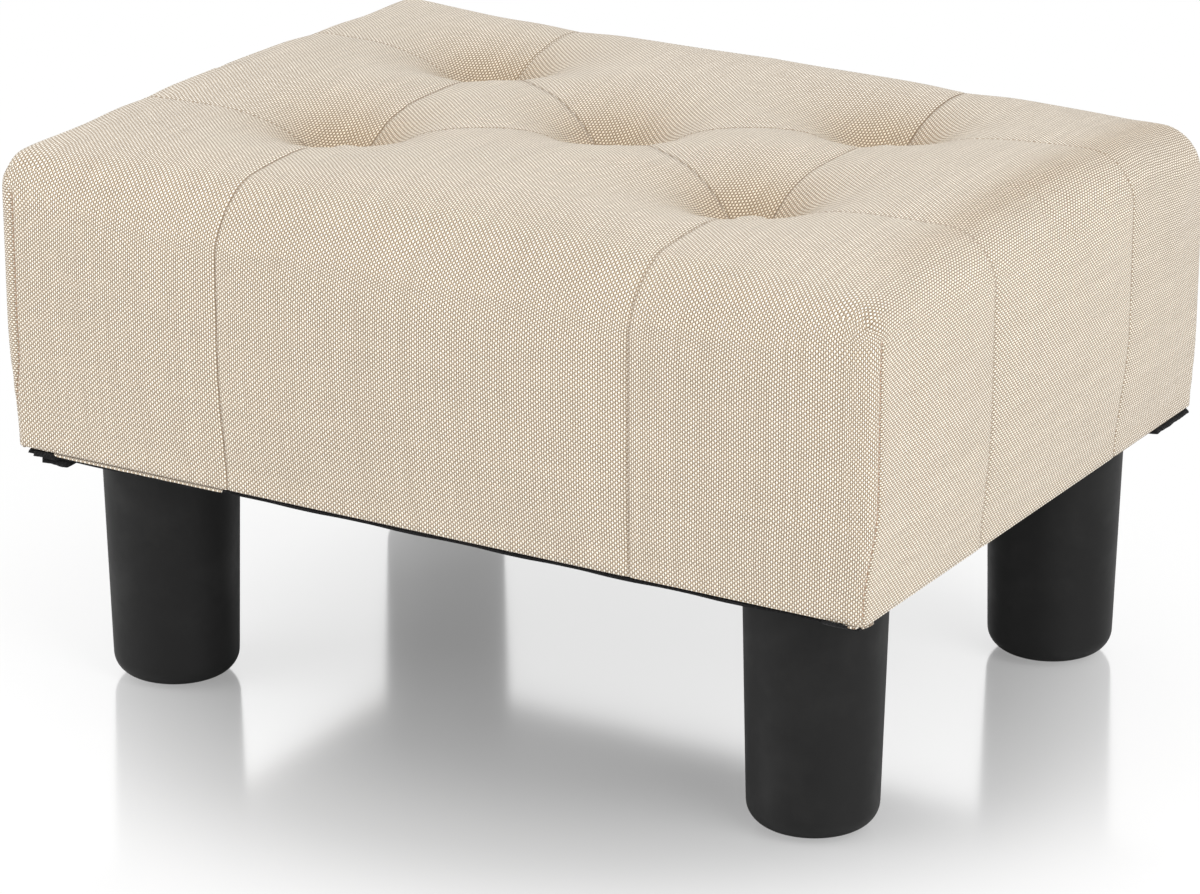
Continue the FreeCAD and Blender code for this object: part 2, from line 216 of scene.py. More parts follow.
# %% [markdown]
# ## The cover's layout
# The real cover is ten flat pieces of cloth, sewn and pulled over foam. The surface is worked out
# on a plain box first: its top and four walls carry a grid whose lines fall on the seams, so a
# seam is always an edge of the mesh. Then one function bends the box into the stool, and it can
# be asked for any point, which lets stitches and buttons land exactly on the cloth.

# %% Sizes of the cover
HALF_X, HALF_Y = 204.2, 155.2          # widest outline, half way up the walls
HEM, CROWN = 107.9, 242.5              # bottom edge and top of the seat
SEAM_X, SEAM_Y = 96.0, 60.0            # seams on the layout
TUFT_X, TUFT_Y = 97.0, 58.0            # buttons on the stool
TUFT_DEPTH = 18.6                      # the cloth's lowest point below the crown, at a button
TUFTS = {"front_left": (-1, -1), "back_left": (-1, 1), "centre": (0, 0),
         "front_right": (1, -1), "back_right": (1, 1)}
CORNERS = {"front_left": (-1, -1), "front_right": (1, -1), "back_left": (-1, 1), "back_right": (1, 1)}
HAIR = 1e-6                            # close enough to be on a plane of the layout
print("cover", 2 * HALF_X, "x", 2 * HALF_Y, "mm,", CROWN - HEM, "mm high")


def smooth(value, low, high):
    """A soft step from 0 at low to 1 at high."""
    t = np.clip((value - low) / (high - low), 0.0, 1.0)
    return t * t * (3 - 2 * t)


# %% Bend the box: rolled edges
def roll_edge(p, q, radius):
    """Inward shifts that round the edge where faces p and q meet; p and q are depths below them."""
    below = np.minimum(p, q)
    r = np.maximum(radius - below, 1e-6)
    d = np.maximum(p, q) - below
    on = (d < r) & (radius > below)
    angle = math.pi / 4 * (1 - np.minimum(d / r, 1))
    along = np.where(on, r * (1 - np.sin(angle)) - d, 0.0)
    across = np.where(on, r * (1 - np.cos(angle)), 0.0)
    return np.where(p > q, along, across), np.where(p > q, across, along)


# %% Places in plan
PRESSED_SIDE = (0.51, -0.86)           # the direction in plan of each tuft's steep side


def plan_shift(x, y):
    """Where a layout point lies in plan: seams drift towards the back on the right-hand end."""
    px = np.sign(x) * np.interp(np.abs(x), [0, SEAM_X, HALF_X], [0, TUFT_X, HALF_X])
    py = np.sign(y) * np.interp(np.abs(y), [0, SEAM_Y, HALF_Y], [0, TUFT_Y, HALF_Y])
    to_right = smooth(x, SEAM_X, HALF_X)
    to_left = smooth(-x, SEAM_X, HALF_X)
    back_seam = np.interp(y, [-SEAM_Y, SEAM_Y, HALF_Y], [0, 1, 0])
    front_seam = np.interp(y, [-HALF_Y, -SEAM_Y, SEAM_Y], [0, 1, 0])
    drift_right = 16 * back_seam + 5 * front_seam
    drift_left = 3 * back_seam - 4 * front_seam
    return px, py + to_right * drift_right + to_left * drift_left


def from_tuft(px, py, sx, sy):
    """Distance to a button, and 1 on its front side, where the pads press, to -1 on its back."""
    dx, dy = px - sx * TUFT_X, py - sy * TUFT_Y
    r = np.hypot(dx, dy)
    return r, (PRESSED_SIDE[0] * dx + PRESSED_SIDE[1] * dy) / np.maximum(r, 1.0)


def nearest_tuft(points):
    """Distance in plan from layout points to the nearest button."""
    px, py = plan_shift(points[:, 0], points[:, 1])
    return np.minimum.reduce([from_tuft(px, py, sx, sy)[0] for sx, sy in TUFTS.values()])


# %% Bend the box: crown, puffs and dimples of the seat
def seam_distances(x, y):
    """Distance to each kind of seam on the layout's top."""
    ax, ay = np.abs(x), np.abs(y)
    slope = math.atan2(SEAM_Y, SEAM_X)
    straight = np.abs(ax - SEAM_X)
    ends = np.where(ax >= SEAM_X, np.abs(ay - SEAM_Y), np.hypot(ax - SEAM_X, ay - SEAM_Y))
    cross = np.where(ax <= SEAM_X, np.abs(ay * math.cos(slope) - ax * math.sin(slope)),
                     np.hypot(ax - SEAM_X, ay - SEAM_Y))
    return straight, ends, cross


FALL_FRONT_BACK, FALL_ENDS, FALL_BACK_RIGHT = 6.0, 1.0, 3.6   # seat edges below the crown
TUFT_FLAT, TUFT_WIDE, TUFT_LEAN = 7.0, 15.5, 7.2              # flat under the button, then slopes


def seat_drop(x, y):
    """How far the seat lies below its crown height. A tuft is steep on its front side, where the
    full pads press against it, and opens out towards the back."""
    straight, ends, cross = seam_distances(x, y)
    ax, ay = np.abs(x), np.abs(y)
    px, py = plan_shift(x, y)
    drop = FALL_FRONT_BACK * (np.abs(py) / HALF_Y) ** 2.9 + FALL_ENDS * (np.abs(px) / HALF_X) ** 3
    drop = drop + FALL_BACK_RIGHT * smooth(px, 120, 212) * smooth(py, 70, 150)
    # shallow valleys along the seams, deepest between the buttons
    between = smooth(SEAM_Y - ay, -6, 6)
    valley_long = np.exp(-(straight / 15.0) ** 2) * (1.1 + 2.6 * between)
    valley_end = np.exp(-(ends / 13.0) ** 2) * 0.9 * smooth(ax, SEAM_X - 12, SEAM_X + 10)
    valley_cross = np.exp(-(cross / 14.0) ** 2) * 2.4 * smooth(SEAM_X - ax, -6, 10)
    parts = valley_long ** 3 + valley_end ** 3 + valley_cross ** 3
    for sx, sy in TUFTS.values():
        r, pressed = from_tuft(px, py, sx, sy)
        slope = TUFT_WIDE - TUFT_LEAN * pressed
        funnel = TUFT_DEPTH / (1 + (np.maximum(r - TUFT_FLAT, 0) / slope) ** 2.2)
        parts = parts + (funnel * smooth(80 - r, 0, 40)) ** 3
    return drop + np.cbrt(parts)


# %% Bend the box: upright corners
# The upright seam doesn't run down the middle of its corner: the cover sits a little twisted, so
# the seam lies some millimetres further round, and comes back to the corner at the frame's edge.
TWIST = {(-1, -1): 6.0, (1, -1): 6.6, (1, 1): 6.0, (-1, 1): 6.0}      # millimetres at each corner


def twist(p):
    """How far each wall point lies further round, counter-clockwise from above."""
    x, y, z = p.T
    deep_x, deep_y = HALF_X - np.abs(x), HALF_Y - np.abs(y)
    from_corner = deep_x + deep_y
    wall = (np.minimum(deep_x, deep_y) < HAIR) & (z < CROWN - HAIR)
    amount = sum(d * (np.sign(x) == sx) * (np.sign(y) == sy) for (sx, sy), d in TWIST.items())
    height = smooth(z, HEM + 8, HEM + 48) * smooth(CROWN + 1.5 - z, 0, 15)
    return amount * wall * height * (1 - smooth(from_corner, 4, 62))


def walk_round(p):
    """Box points after the twist, folded over the box's corner where they pass it."""
    x, y, z = p.T
    d = twist(p)
    out = p.copy()
    deep_x, deep_y = HALF_X - np.abs(x), HALF_Y - np.abs(y)
    # walls where counter-clockwise leads towards the corner that the point belongs to
    front_back = deep_y < HAIR
    towards = np.where(front_back, np.sign(x) == -np.sign(y), np.sign(x) == np.sign(y))
    corner = front_back & (deep_x < HAIR)
    towards = np.where(corner, True, towards)
    left = np.where(front_back, deep_x, deep_y) - d
    long_wall = front_back & ~(corner & (np.sign(x) == np.sign(y)))
    # still on its own wall
    rest = np.maximum(left, 0)
    own_x = np.where(long_wall, np.sign(x) * (HALF_X - np.where(towards, rest, deep_x + d)), x)
    own_y = np.where(long_wall, y, np.sign(y) * (HALF_Y - np.where(towards, rest, deep_y + d)))
    # past the corner, on the next wall
    past = towards & (left < 0)
    over = np.where(past, -left, 0)
    out[:, 0] = np.where(past & ~long_wall, np.sign(x) * (HALF_X - over), own_x)
    out[:, 1] = np.where(past & long_wall, np.sign(y) * (HALF_Y - over), own_y)
    return np.where((d > 1e-9)[:, None], out, p)


# %% Bend the box: the whole surface
END_ROLL, SIDE_ROLL = 21, 28           # rounding of the seat's edge at the ends and long sides
HEM_PULL, HEM_REACH = 4.2, 62          # the walls draw in towards the hem, from this height on


def bend(p):
    """Box points (n, 3) to points on the cover, before wrinkles and seams. The edges are rounder
    in their middle than at the corners, and the four corners differ as they do on a sewn cover."""
    q = walk_round(p)
    x, y, z = q[:, 0], q[:, 1], q[:, 2]
    px, py = plan_shift(x, y)
    deep_x, deep_y, deep_z = HALF_X - np.abs(x), HALF_Y - np.abs(y), CROWN - z
    to_left, to_front = smooth(-x, -20, 60), smooth(-y, -60, 60)
    front_left, back_right = to_left * to_front, (1 - to_left) * (1 - to_front)
    end_roll = END_ROLL - (8 - 4 * back_right) * smooth(np.abs(y), 95, HALF_Y) \
        - 8 * to_left * smooth(-y, -110, 20)
    side_roll = SIDE_ROLL - (14 - 6 * back_right) * smooth(np.abs(x), 125, HALF_X)
    upright = 2.5 + 2.0 * back_right \
        + (9.5 - 9.0 * front_left + 4.0 * back_right) * smooth(z, HEM + 8, HEM + 58)
    in_x1, in_z1 = roll_edge(deep_x, deep_z, end_roll)
    in_y1, in_z2 = roll_edge(deep_y, deep_z, side_roll)
    in_x2, in_y2 = roll_edge(deep_x, deep_y, upright)
    up = np.clip((z - HEM) / (CROWN - HEM), 0, 1)
    hem_pull = HEM_PULL * (1 - smooth(z, HEM, HEM + HEM_REACH)) ** 1.2
    pull_x = in_x1 + in_x2 + hem_pull * np.abs(x) / HALF_X * (1 - 0.85 * to_left) \
        - 0.8 * smooth(-x, 60, HALF_X)
    pull_y = in_y1 + in_y2 + hem_pull * np.abs(y) / HALF_Y
    fall = in_z1 + in_z2 + seat_drop(x, y) * smooth(up, 0.30, 1.0)
    return np.stack([px - np.sign(x) * pull_x, py - np.sign(y) * pull_y, z - fall], axis=1)


test = bend(np.array([[0.0, 0, CROWN], [HALF_X, HALF_Y, CROWN], [HALF_X, 0, 170]]))
print("crown, corner, wall:", test.round(1).tolist())

# %% [markdown]
# ## The grid
# Grid lines are packed closely at the seams, where the cloth turns in, and lie wide apart
# elsewhere. Between the four outer buttons both directions share one spacing rule, so the
# diagonals pass through grid corners and can be cut there.

# %% Grid lines
BESIDE_SEAM = (0.35, 1.1)              # extra lines this far from a seam
INNER_SHARE = 0.9942                   # the same between the buttons, as a share of the half width


def spaced(start, stop, step, close=()):
    """Lines from start to stop, with extra ones hard against the ends that carry a seam."""
    count = max(2, round((stop - start) / step))
    lines = list(np.linspace(start, stop, count + 1))
    if "start" in close:
        lines += [start + near for near in BESIDE_SEAM]
    if "stop" in close:
        lines += [stop - near for near in BESIDE_SEAM]
    return np.array(sorted(lines))


def box_lines(step, inner_count, close):
    """Grid lines along X, Y and down the walls."""
    ends = ("start", "stop") if close else ()
    share = np.linspace(-1, 1, inner_count + 1)
    if close:
        share = np.array(sorted(list(share) + [-INNER_SHARE, INNER_SHARE]))
    x = np.concatenate([spaced(-HALF_X, -SEAM_X, step, ends)[:-1], SEAM_X * share,
                        spaced(SEAM_X, HALF_X, step, ends)[1:]])
    y = np.concatenate([spaced(-HALF_Y, -SEAM_Y, step, ends)[:-1], SEAM_Y * share,
                        spaced(SEAM_Y, HALF_Y, step, ends)[1:]])
    z = spaced(HEM, CROWN, step)
    return x, y, z


def box_faces(lines):
    """Points, faces and face kinds of a box without a bottom; kinds: t, f, b, l, r."""
    x, y, z = lines
    points, faces, kinds, offset = [], [], [], 0
    sides = {
        "t": (x, y, lambda a, b: (a, b, np.full_like(a, CROWN)), False),
        "f": (x, z, lambda a, b: (a, np.full_like(a, -HALF_Y), b), False),
        "b": (x, z, lambda a, b: (a, np.full_like(a, HALF_Y), b), True),
        "l": (y, z, lambda a, b: (np.full_like(a, -HALF_X), a, b), True),
        "r": (y, z, lambda a, b: (np.full_like(a, HALF_X), a, b), False),
    }
    for kind, (across, along, place, flip) in sides.items():
        a, b = np.meshgrid(across, along, indexing="ij")
        points.append(np.stack(place(a.ravel(), b.ravel()), axis=1))
        n, m = a.shape
        index = np.arange(n * m).reshape(n, m) + offset
        quads = np.stack([index[:-1, :-1], index[1:, :-1], index[1:, 1:], index[:-1, 1:]], axis=-1)
        quads = quads.reshape(-1, 4)
        faces.append(quads[:, ::-1] if flip else quads)
        kinds += [kind] * len(quads)
        offset += n * m
    points = np.concatenate(points)
    _, first, inverse = np.unique(points.round(4), axis=0, return_index=True, return_inverse=True)
    return points[first], inverse.ravel()[np.concatenate(faces)], np.array(kinds)


def surface_normals(points, faces):
    """Normals at the points, from the faces round them."""
    a, b, c, d = (points[faces[:, i]] for i in range(4))
    face_normal = np.cross(c - a, d - b)
    total = np.zeros_like(points)
    for i in range(4):
        np.add.at(total, faces[:, i], face_normal)
    return total / np.maximum(np.linalg.norm(total, axis=1, keepdims=True), 1e-9)


# %% [markdown]
# ## Pulling the cloth tight
# A cover over foam is under tension and the foam presses back. A short cloth simulation on a
# coarse copy of the surface gives that: the buttons and the hem are held, a light pressure from
# inside fills the puffs. Only the change it makes is kept, and laid over the fine surface later,
# so the simulation stays quick and the seams stay sharp.

# %% What holds the cloth
COARSE = box_lines(6.5, 30, False)
MOST = 4.0                             # the cloth may move this far at most
STEPS = 18                             # the simulation's length in frames
HELD_AT_HEM, HELD_AT_CORNER, HELD_AT_TUFT, HELD_AT_SEAM = 8, 16, 9.5, 4


def corner_distance(points):
    """Distance on the layout to the nearest upright corner."""
    return np.hypot(HALF_X - np.abs(points[:, 0]), HALF_Y - np.abs(points[:, 1]))


def pin_cloth(body, points):
    """Hold hem, corners and buttons fast, and the seams by half, because seams hardly stretch."""
    pins = body.vertex_groups.new(name="pins")
    held = (points[:, 2] < HEM + HELD_AT_HEM) | (corner_distance(points) < HELD_AT_CORNER)
    held |= (nearest_tuft(points) < HELD_AT_TUFT) & (points[:, 2] > CROWN - 1)
    pins.add([int(i) for i in np.flatnonzero(held)], 1.0, "REPLACE")
    seam = np.minimum.reduce(seam_distances(points[:, 0], points[:, 1]))
    pins.add([int(i) for i in np.flatnonzero((seam < HELD_AT_SEAM) & ~held)], 0.5, "REPLACE")
    print("held points", int(held.sum()), "of", len(points))


# %% Run the cloth
def simulated_change():
    """Coarse layout points and how far the cloth moved at each of them."""
    points, faces, _ = box_faces(COARSE)
    start = bend(points)
    mesh = bpy.data.meshes.new("cloth_run")
    mesh.from_pydata([tuple(v * MM) for v in start], [], [tuple(int(i) for i in f) for f in faces])
    body = bpy.data.objects.new("cloth_run", mesh)
    scene.collection.objects.link(body)
    pin_cloth(body, points)
    fabric = body.modifiers.new("cloth", "CLOTH").settings
    fabric.quality = 6
    fabric.mass = 0.25
    fabric.tension_stiffness = fabric.compression_stiffness = 12
    fabric.shear_stiffness = 4
    fabric.bending_stiffness = 0.6
    fabric.vertex_group_mass = "pins"
    fabric.use_pressure = True
    fabric.uniform_pressure_force = 5.0
    fabric.effector_weights.gravity = 0.0
    for number in range(1, STEPS + 1):
        scene.frame_set(number)
    now = body.evaluated_get(bpy.context.evaluated_depsgraph_get()).to_mesh()
    moved = np.empty(len(now.vertices) * 3)
    now.vertices.foreach_get("co", moved)
    change = moved.reshape(-1, 3) / MM - start
    size = np.linalg.norm(change, axis=1, keepdims=True)
    change *= np.minimum(1, MOST / np.maximum(size, 1e-9))
    scene.frame_set(1)
    bpy.data.objects.remove(body)
    print("cloth moved up to", round(float(size.max()), 2), "mm, mean", round(float(size.mean()), 2))
    return points, change


def change_tables():
    """The change as tables over each side of the box, ready to be read between points."""
    points, change = simulated_change()
    lookup = {tuple(k): c for k, c in zip(points.round(3).tolist(), change)}
    x, y, z = COARSE
    tables = {}
    places = {"t": (x, y, lambda a, b: (a, b, CROWN)), "f": (x, z, lambda a, b: (a, -HALF_Y, b)),
              "b": (x, z, lambda a, b: (a, HALF_Y, b)), "l": (y, z, lambda a, b: (-HALF_X, a, b)),
              "r": (y, z, lambda a, b: (HALF_X, a, b))}
    for kind, (across, along, place) in places.items():
        grid = np.array([[lookup[tuple(round(float(c), 3) for c in place(a, b))] for b in along]
                         for a in across])
        tables[kind] = (across, along, grid)
    return tables


TABLES = change_tables()

# %% Read the change anywhere
SIDE_AXES = {"t": (0, 1), "f": (0, 2), "b": (0, 2), "l": (1, 2), "r": (1, 2)}


def read_change(points):
    """The simulated change at any layout points, read between the coarse ones. It fades out
    towards the upright corners and partly towards the buttons, which hold the cloth."""
    total = np.zeros_like(points)
    if TABLES is None:
        return total
    top = points[:, 2] > CROWN - HAIR
    kinds = {"t": top, "f": ~top & (points[:, 1] < -HALF_Y + HAIR),
             "b": ~top & (points[:, 1] > HALF_Y - HAIR)}
    side = ~top & ~kinds["f"] & ~kinds["b"]
    kinds["l"], kinds["r"] = side & (points[:, 0] < 0), side & (points[:, 0] > 0)
    for kind, chosen in kinds.items():
        across, along, grid = TABLES[kind]
        a, b = (points[chosen, axis] for axis in SIDE_AXES[kind])
        i = np.clip(np.searchsorted(across, a) - 1, 0, len(across) - 2)
        j = np.clip(np.searchsorted(along, b) - 1, 0, len(along) - 2)
        s = smooth((a - across[i]) / (across[i + 1] - across[i]), 0, 1)[:, None]
        t = smooth((b - along[j]) / (along[j + 1] - along[j]), 0, 1)[:, None]
        total[chosen] = ((grid[i, j] * (1 - s) + grid[i + 1, j] * s) * (1 - t)
                         + (grid[i, j + 1] * (1 - s) + grid[i + 1, j + 1] * s) * t)
    off_tuft = np.where(top, 0.25 + 0.75 * smooth(nearest_tuft(points), 14, 50), 1.0)
    keep = smooth(corner_distance(points), 14, 42) * off_tuft
    return total * keep[:, None]


def on_cover(points):
    """Layout points to the tight cover, before the seams turn in."""
    return bend(points) + read_change(points)


# %% [markdown]
# ## Finishes: building blocks
# Several pieces share an effect: woven thread, soft unevenness, moulded grain, fibres. Each effect
# is a node group with named inputs, made once and placed in each material with its own values.
# A group only gives colours and heights; the shader itself stays in the material.

# %% Node helpers
def make_group(name, inputs, outputs):
    """An empty node group with its sockets; gives back the group and what is inside its ends."""
    made = bpy.data.node_groups.new(name, "ShaderNodeTree")
    for label, kind, value in inputs:
        socket = made.interface.new_socket(name=label, in_out="INPUT",
                                           socket_type="NodeSocket" + kind)
        socket.default_value = value
    for label, kind in outputs:
        made.interface.new_socket(name=label, in_out="OUTPUT", socket_type="NodeSocket" + kind)
    return made, node(made, "NodeGroupInput").outputs, node(made, "NodeGroupOutput").inputs


def feed(tree, socket, value):
    """Wire a value to a socket if it comes from a node, or else write it there."""
    if isinstance(value, bpy.types.NodeSocket):
        wire(tree, value, socket)
    else:
        socket.default_value = value


def maths(tree, operation, *values):
    made = node(tree, "ShaderNodeMath", operation=operation)
    for socket, value in zip(made.inputs, values):
        feed(tree, socket, value)
    return made.outputs[0]


def vector_maths(tree, operation, first, second):
    made = node(tree, "ShaderNodeVectorMath", operation=operation)
    feed(tree, made.inputs[0], first)
    feed(tree, made.inputs["Scale"] if operation == "SCALE" else made.inputs[1], second)
    return made.outputs[0]


def noise(tree, vector, scale, detail=2.0, rough=0.5):
    made = node(tree, "ShaderNodeTexNoise")
    feed(tree, made.inputs["Vector"], vector)
    feed(tree, made.inputs["Scale"], scale)
    made.inputs["Detail"].default_value = detail
    made.inputs["Roughness"].default_value = rough
    return made


def ramp(tree, value, low, high, to_low=0.0, to_high=1.0):
    """A straight climb between two values, level outside them."""
    made = node(tree, "ShaderNodeMapRange")
    for label, v in (("Value", value), ("From Min", low), ("From Max", high), ("To Min", to_low),
                     ("To Max", to_high)):
        feed(tree, made.inputs[label], v)
    return made.outputs[0]


def mix_colour(tree, factor, first, second, blend="MIX"):
    made = node(tree, "ShaderNodeMix", data_type="RGBA", blend_type=blend)
    feed(tree, made.inputs[0], factor)
    feed(tree, made.inputs[6], first)
    feed(tree, made.inputs[7], second)
    return made.outputs[2]


# %% [markdown]
# ### Woven thread
# Plain weave: light threads one way, tan threads the other, each over one and under the next.
# Two sine waves give the round backs of the threads, and their product says which one is on top.
# Every thread gets its own tone and changes it along its length, as spun linen does, and a noise
# moves the threads a little out of line.

# %% Weave group
THREAD_SWAY = 2.2                      # how far uneven threads leave their line, in thread widths


def weave_group():
    tree, given, gives = make_group(
        "woven_thread",
        [("Cloth", "Vector", (0, 0, 0)), ("Threads per metre", "Float", 1200.0),
         ("Light thread", "Color", (0.8, 0.75, 0.65, 1)), ("Dark thread", "Color", (0.5, 0.4, 0.3, 1)),
         ("Gap", "Color", (0.3, 0.22, 0.15, 1)), ("Unevenness", "Float", 0.5)],
        [("Colour", "Color"), ("Height", "Float")])
    cloth = vector_maths(tree, "SCALE", given["Cloth"], given["Threads per metre"])
    wander = noise(tree, given["Cloth"], 130.0, 2.0)
    centred = vector_maths(tree, "SUBTRACT", wander.outputs["Color"], (0.5, 0.5, 0.5))
    wobble = vector_maths(tree, "SCALE", centred,
                          maths(tree, "MULTIPLY", given["Unevenness"], THREAD_SWAY))
    moved = vector_maths(tree, "ADD", cloth, wobble)
    axes = node(tree, "ShaderNodeSeparateXYZ")
    wire(tree, moved, axes.inputs[0])
    u, v = axes.outputs[0], axes.outputs[1]
    wave_u = maths(tree, "SINE", maths(tree, "MULTIPLY", u, math.pi))
    wave_v = maths(tree, "SINE", maths(tree, "MULTIPLY", v, math.pi))
    over = maths(tree, "MULTIPLY", wave_u, wave_v)
    back_u, back_v = maths(tree, "ABSOLUTE", wave_u), maths(tree, "ABSOLUTE", wave_v)
    half_over = maths(tree, "MULTIPLY", over, 0.5)
    light_high = maths(tree, "ADD", maths(tree, "MULTIPLY", back_u, 0.5), half_over)
    dark_high = maths(tree, "SUBTRACT", maths(tree, "MULTIPLY", back_v, 0.5), half_over)
    height = maths(tree, "MAXIMUM", light_high, dark_high)
    on_top = ramp(tree, maths(tree, "SUBTRACT", light_high, dark_high), -0.06, 0.06)

    tones = []
    for axis, other in ((u, v), (v, u)):
        thread = node(tree, "ShaderNodeTexWhiteNoise", noise_dimensions="1D")
        wire(tree, maths(tree, "FLOOR", axis), thread.inputs["W"])
        run = node(tree, "ShaderNodeCombineXYZ")
        wire(tree, maths(tree, "FLOOR", axis), run.inputs[0])
        wire(tree, maths(tree, "MULTIPLY", other, 0.045), run.inputs[1])
        slub = noise(tree, run.outputs[0], 1.0, 3.0)
        tone = maths(tree, "ADD", maths(tree, "MULTIPLY", thread.outputs["Value"], 0.35),
                     slub.outputs[0])
        spread = maths(tree, "MULTIPLY", maths(tree, "SUBTRACT", tone, 0.68), given["Unevenness"])
        tones.append(maths(tree, "ADD", spread, 1.0))
    light = vector_maths(tree, "SCALE", given["Light thread"], tones[0])
    dark = vector_maths(tree, "SCALE", given["Dark thread"], tones[1])
    top = mix_colour(tree, on_top, dark, light)
    colour = mix_colour(tree, ramp(tree, height, 0.22, 0.62), given["Gap"], top)
    wire(tree, colour, gives["Colour"])
    wire(tree, height, gives["Height"])
    return tree


WEAVE = weave_group()
print("weave:", len(WEAVE.nodes), "nodes")

# %% [markdown]
# ### Unevenness, grain and fibres
# Nothing is one flat tone: cloth picks up soft clouds of colour, moulded plastic has a fine
# pebble and rubs paler where it is handled, and pressed fibres run in all directions.

# %% Cloud, grain and fibre groups
def cloud_group():
    tree, given, gives = make_group(
        "soft_clouds",
        [("Place", "Vector", (0, 0, 0)), ("Scale", "Float", 12.0), ("Amount", "Float", 0.1)],
        [("Tone", "Float")])
    large = noise(tree, given["Place"], given["Scale"], 3.0)
    small = noise(tree, given["Place"], maths(tree, "MULTIPLY", given["Scale"], 7.0), 2.0)
    both = maths(tree, "ADD", maths(tree, "MULTIPLY", large.outputs[0], 0.65),
                 maths(tree, "MULTIPLY", small.outputs[0], 0.35))
    centred = maths(tree, "MULTIPLY", maths(tree, "SUBTRACT", both, 0.5), given["Amount"])
    wire(tree, maths(tree, "ADD", maths(tree, "MULTIPLY", centred, 2.0), 1.0), gives["Tone"])
    return tree


def pebble_group():
    tree, given, gives = make_group(
        "moulded_pebble", [("Place", "Vector", (0, 0, 0)), ("Scale", "Float", 2600.0)],
        [("Height", "Float"), ("Rub", "Float")])
    cells = node(tree, "ShaderNodeTexVoronoi", feature="SMOOTH_F1")
    wire(tree, given["Place"], cells.inputs["Vector"])
    wire(tree, given["Scale"], cells.inputs["Scale"])
    fine = noise(tree, given["Place"], maths(tree, "MULTIPLY", given["Scale"], 0.6), 3.0, 0.6)
    wire(tree, maths(tree, "ADD", maths(tree, "MULTIPLY", cells.outputs["Distance"], 0.7),
                     maths(tree, "MULTIPLY", fine.outputs[0], 0.5)), gives["Height"])
    rub = noise(tree, given["Place"], maths(tree, "MULTIPLY", given["Scale"], 0.012), 5.0, 0.65)
    wire(tree, ramp(tree, rub.outputs[0], 0.48, 0.72), gives["Rub"])
    return tree


def fibre_group():
    tree, given, gives = make_group(
        "pressed_fibres",
        [("Place", "Vector", (0, 0, 0)), ("Scale", "Float", 900.0),
         ("Colour", "Color", (0.02, 0.02, 0.02, 1)), ("Fibre colour", "Color", (0.06, 0.06, 0.06, 1))],
        [("Colour", "Color"), ("Height", "Float")])
    total = None
    for stretch in ((1.0, 0.08, 1.0), (0.08, 1.0, 1.0), (0.7, 0.7, 0.1)):
        laid = vector_maths(tree, "MULTIPLY", given["Place"], stretch)
        strands = noise(tree, laid, given["Scale"], 2.0, 0.6)
        strand = strands.outputs[0]
        total = strand if total is None else maths(tree, "MAXIMUM", total, strand)
    lines = ramp(tree, total, 0.5, 0.75)
    wire(tree, mix_colour(tree, lines, given["Colour"], given["Fibre colour"]), gives["Colour"])
    wire(tree, lines, gives["Height"])
    return tree


CLOUDS, PEBBLE, FIBRES = cloud_group(), pebble_group(), fibre_group()
print("node groups", [g.name for g in bpy.data.node_groups])


# %% Material helpers
def new_material(name, roughness=0.6, metallic=0.0, **shader):
    """A material with its Principled shader; the constant values are set on the shader itself."""
    material = bpy.data.materials.new(name)
    material.use_nodes = True
    tree = material.node_tree
    tree.nodes.clear()
    principled = node(tree, "ShaderNodeBsdfPrincipled")
    principled.inputs["Roughness"].default_value = roughness
    principled.inputs["Metallic"].default_value = metallic
    for label, value in shader.items():
        principled.inputs[label.replace("_", " ")].default_value = value
    wire(tree, principled.outputs[0], node(tree, "ShaderNodeOutputMaterial").inputs[0])
    return material, tree, principled.inputs


def place_group(tree, group, **values):
    """A node group in a material; its inputs are named with _ for a space."""
    made = node(tree, "ShaderNodeGroup", node_tree=group)
    for label, value in values.items():
        feed(tree, made.inputs[label.replace("_", " ")], value)
    return made.outputs


def bump(tree, height, strength, distance, into):
    made = node(tree, "ShaderNodeBump")
    made.inputs["Strength"].default_value = strength
    made.inputs["Distance"].default_value = distance
    wire(tree, height, made.inputs["Height"])
    wire(tree, made.outputs[0], into)


def cloth_place(tree):
    return node(tree, "ShaderNodeUVMap", uv_map="cloth").outputs[0]


def object_place(tree):
    return node(tree, "ShaderNodeTexCoord").outputs["Object"]


# %% [markdown]
# ### Linen-look cover cloth
# Cream thread over tan thread, nine threads to the centimetre one way and ten the other, so the
# light backs read as rows of dots from near by and as an even beige from far off. At a seam the
# cloth turns in, and a mask along the seams paints shade into its colour. In the hollows of the
# tufts and along the right-hand end's edge a second mask paints shade, darker and warmer, standing
# in for the light that bounces from cloth to cloth there. A faint sheen lifts it at low angles.

# %% Cover cloth
LINEN_LIGHT = (0.99, 0.92, 0.80, 1)
LINEN_DARK = (0.46, 0.365, 0.255, 1)
LINEN_GAP = (0.14, 0.09, 0.055, 1)
SEAM_PAINTED_SHADE = (0.20, 0.135, 0.085, 1)
# Painted shade for the hollows: how much of each colour is left there.
HOLLOW_PAINTED_SHADE = (0.74, 0.655, 0.545)     # how much of each colour is left in the hollows
THREADS = 1004.0                       # to the metre along one way of the cloth
FEWER_ACROSS = (0.916, 1.0, 1.0)       # the other way is woven a little more openly


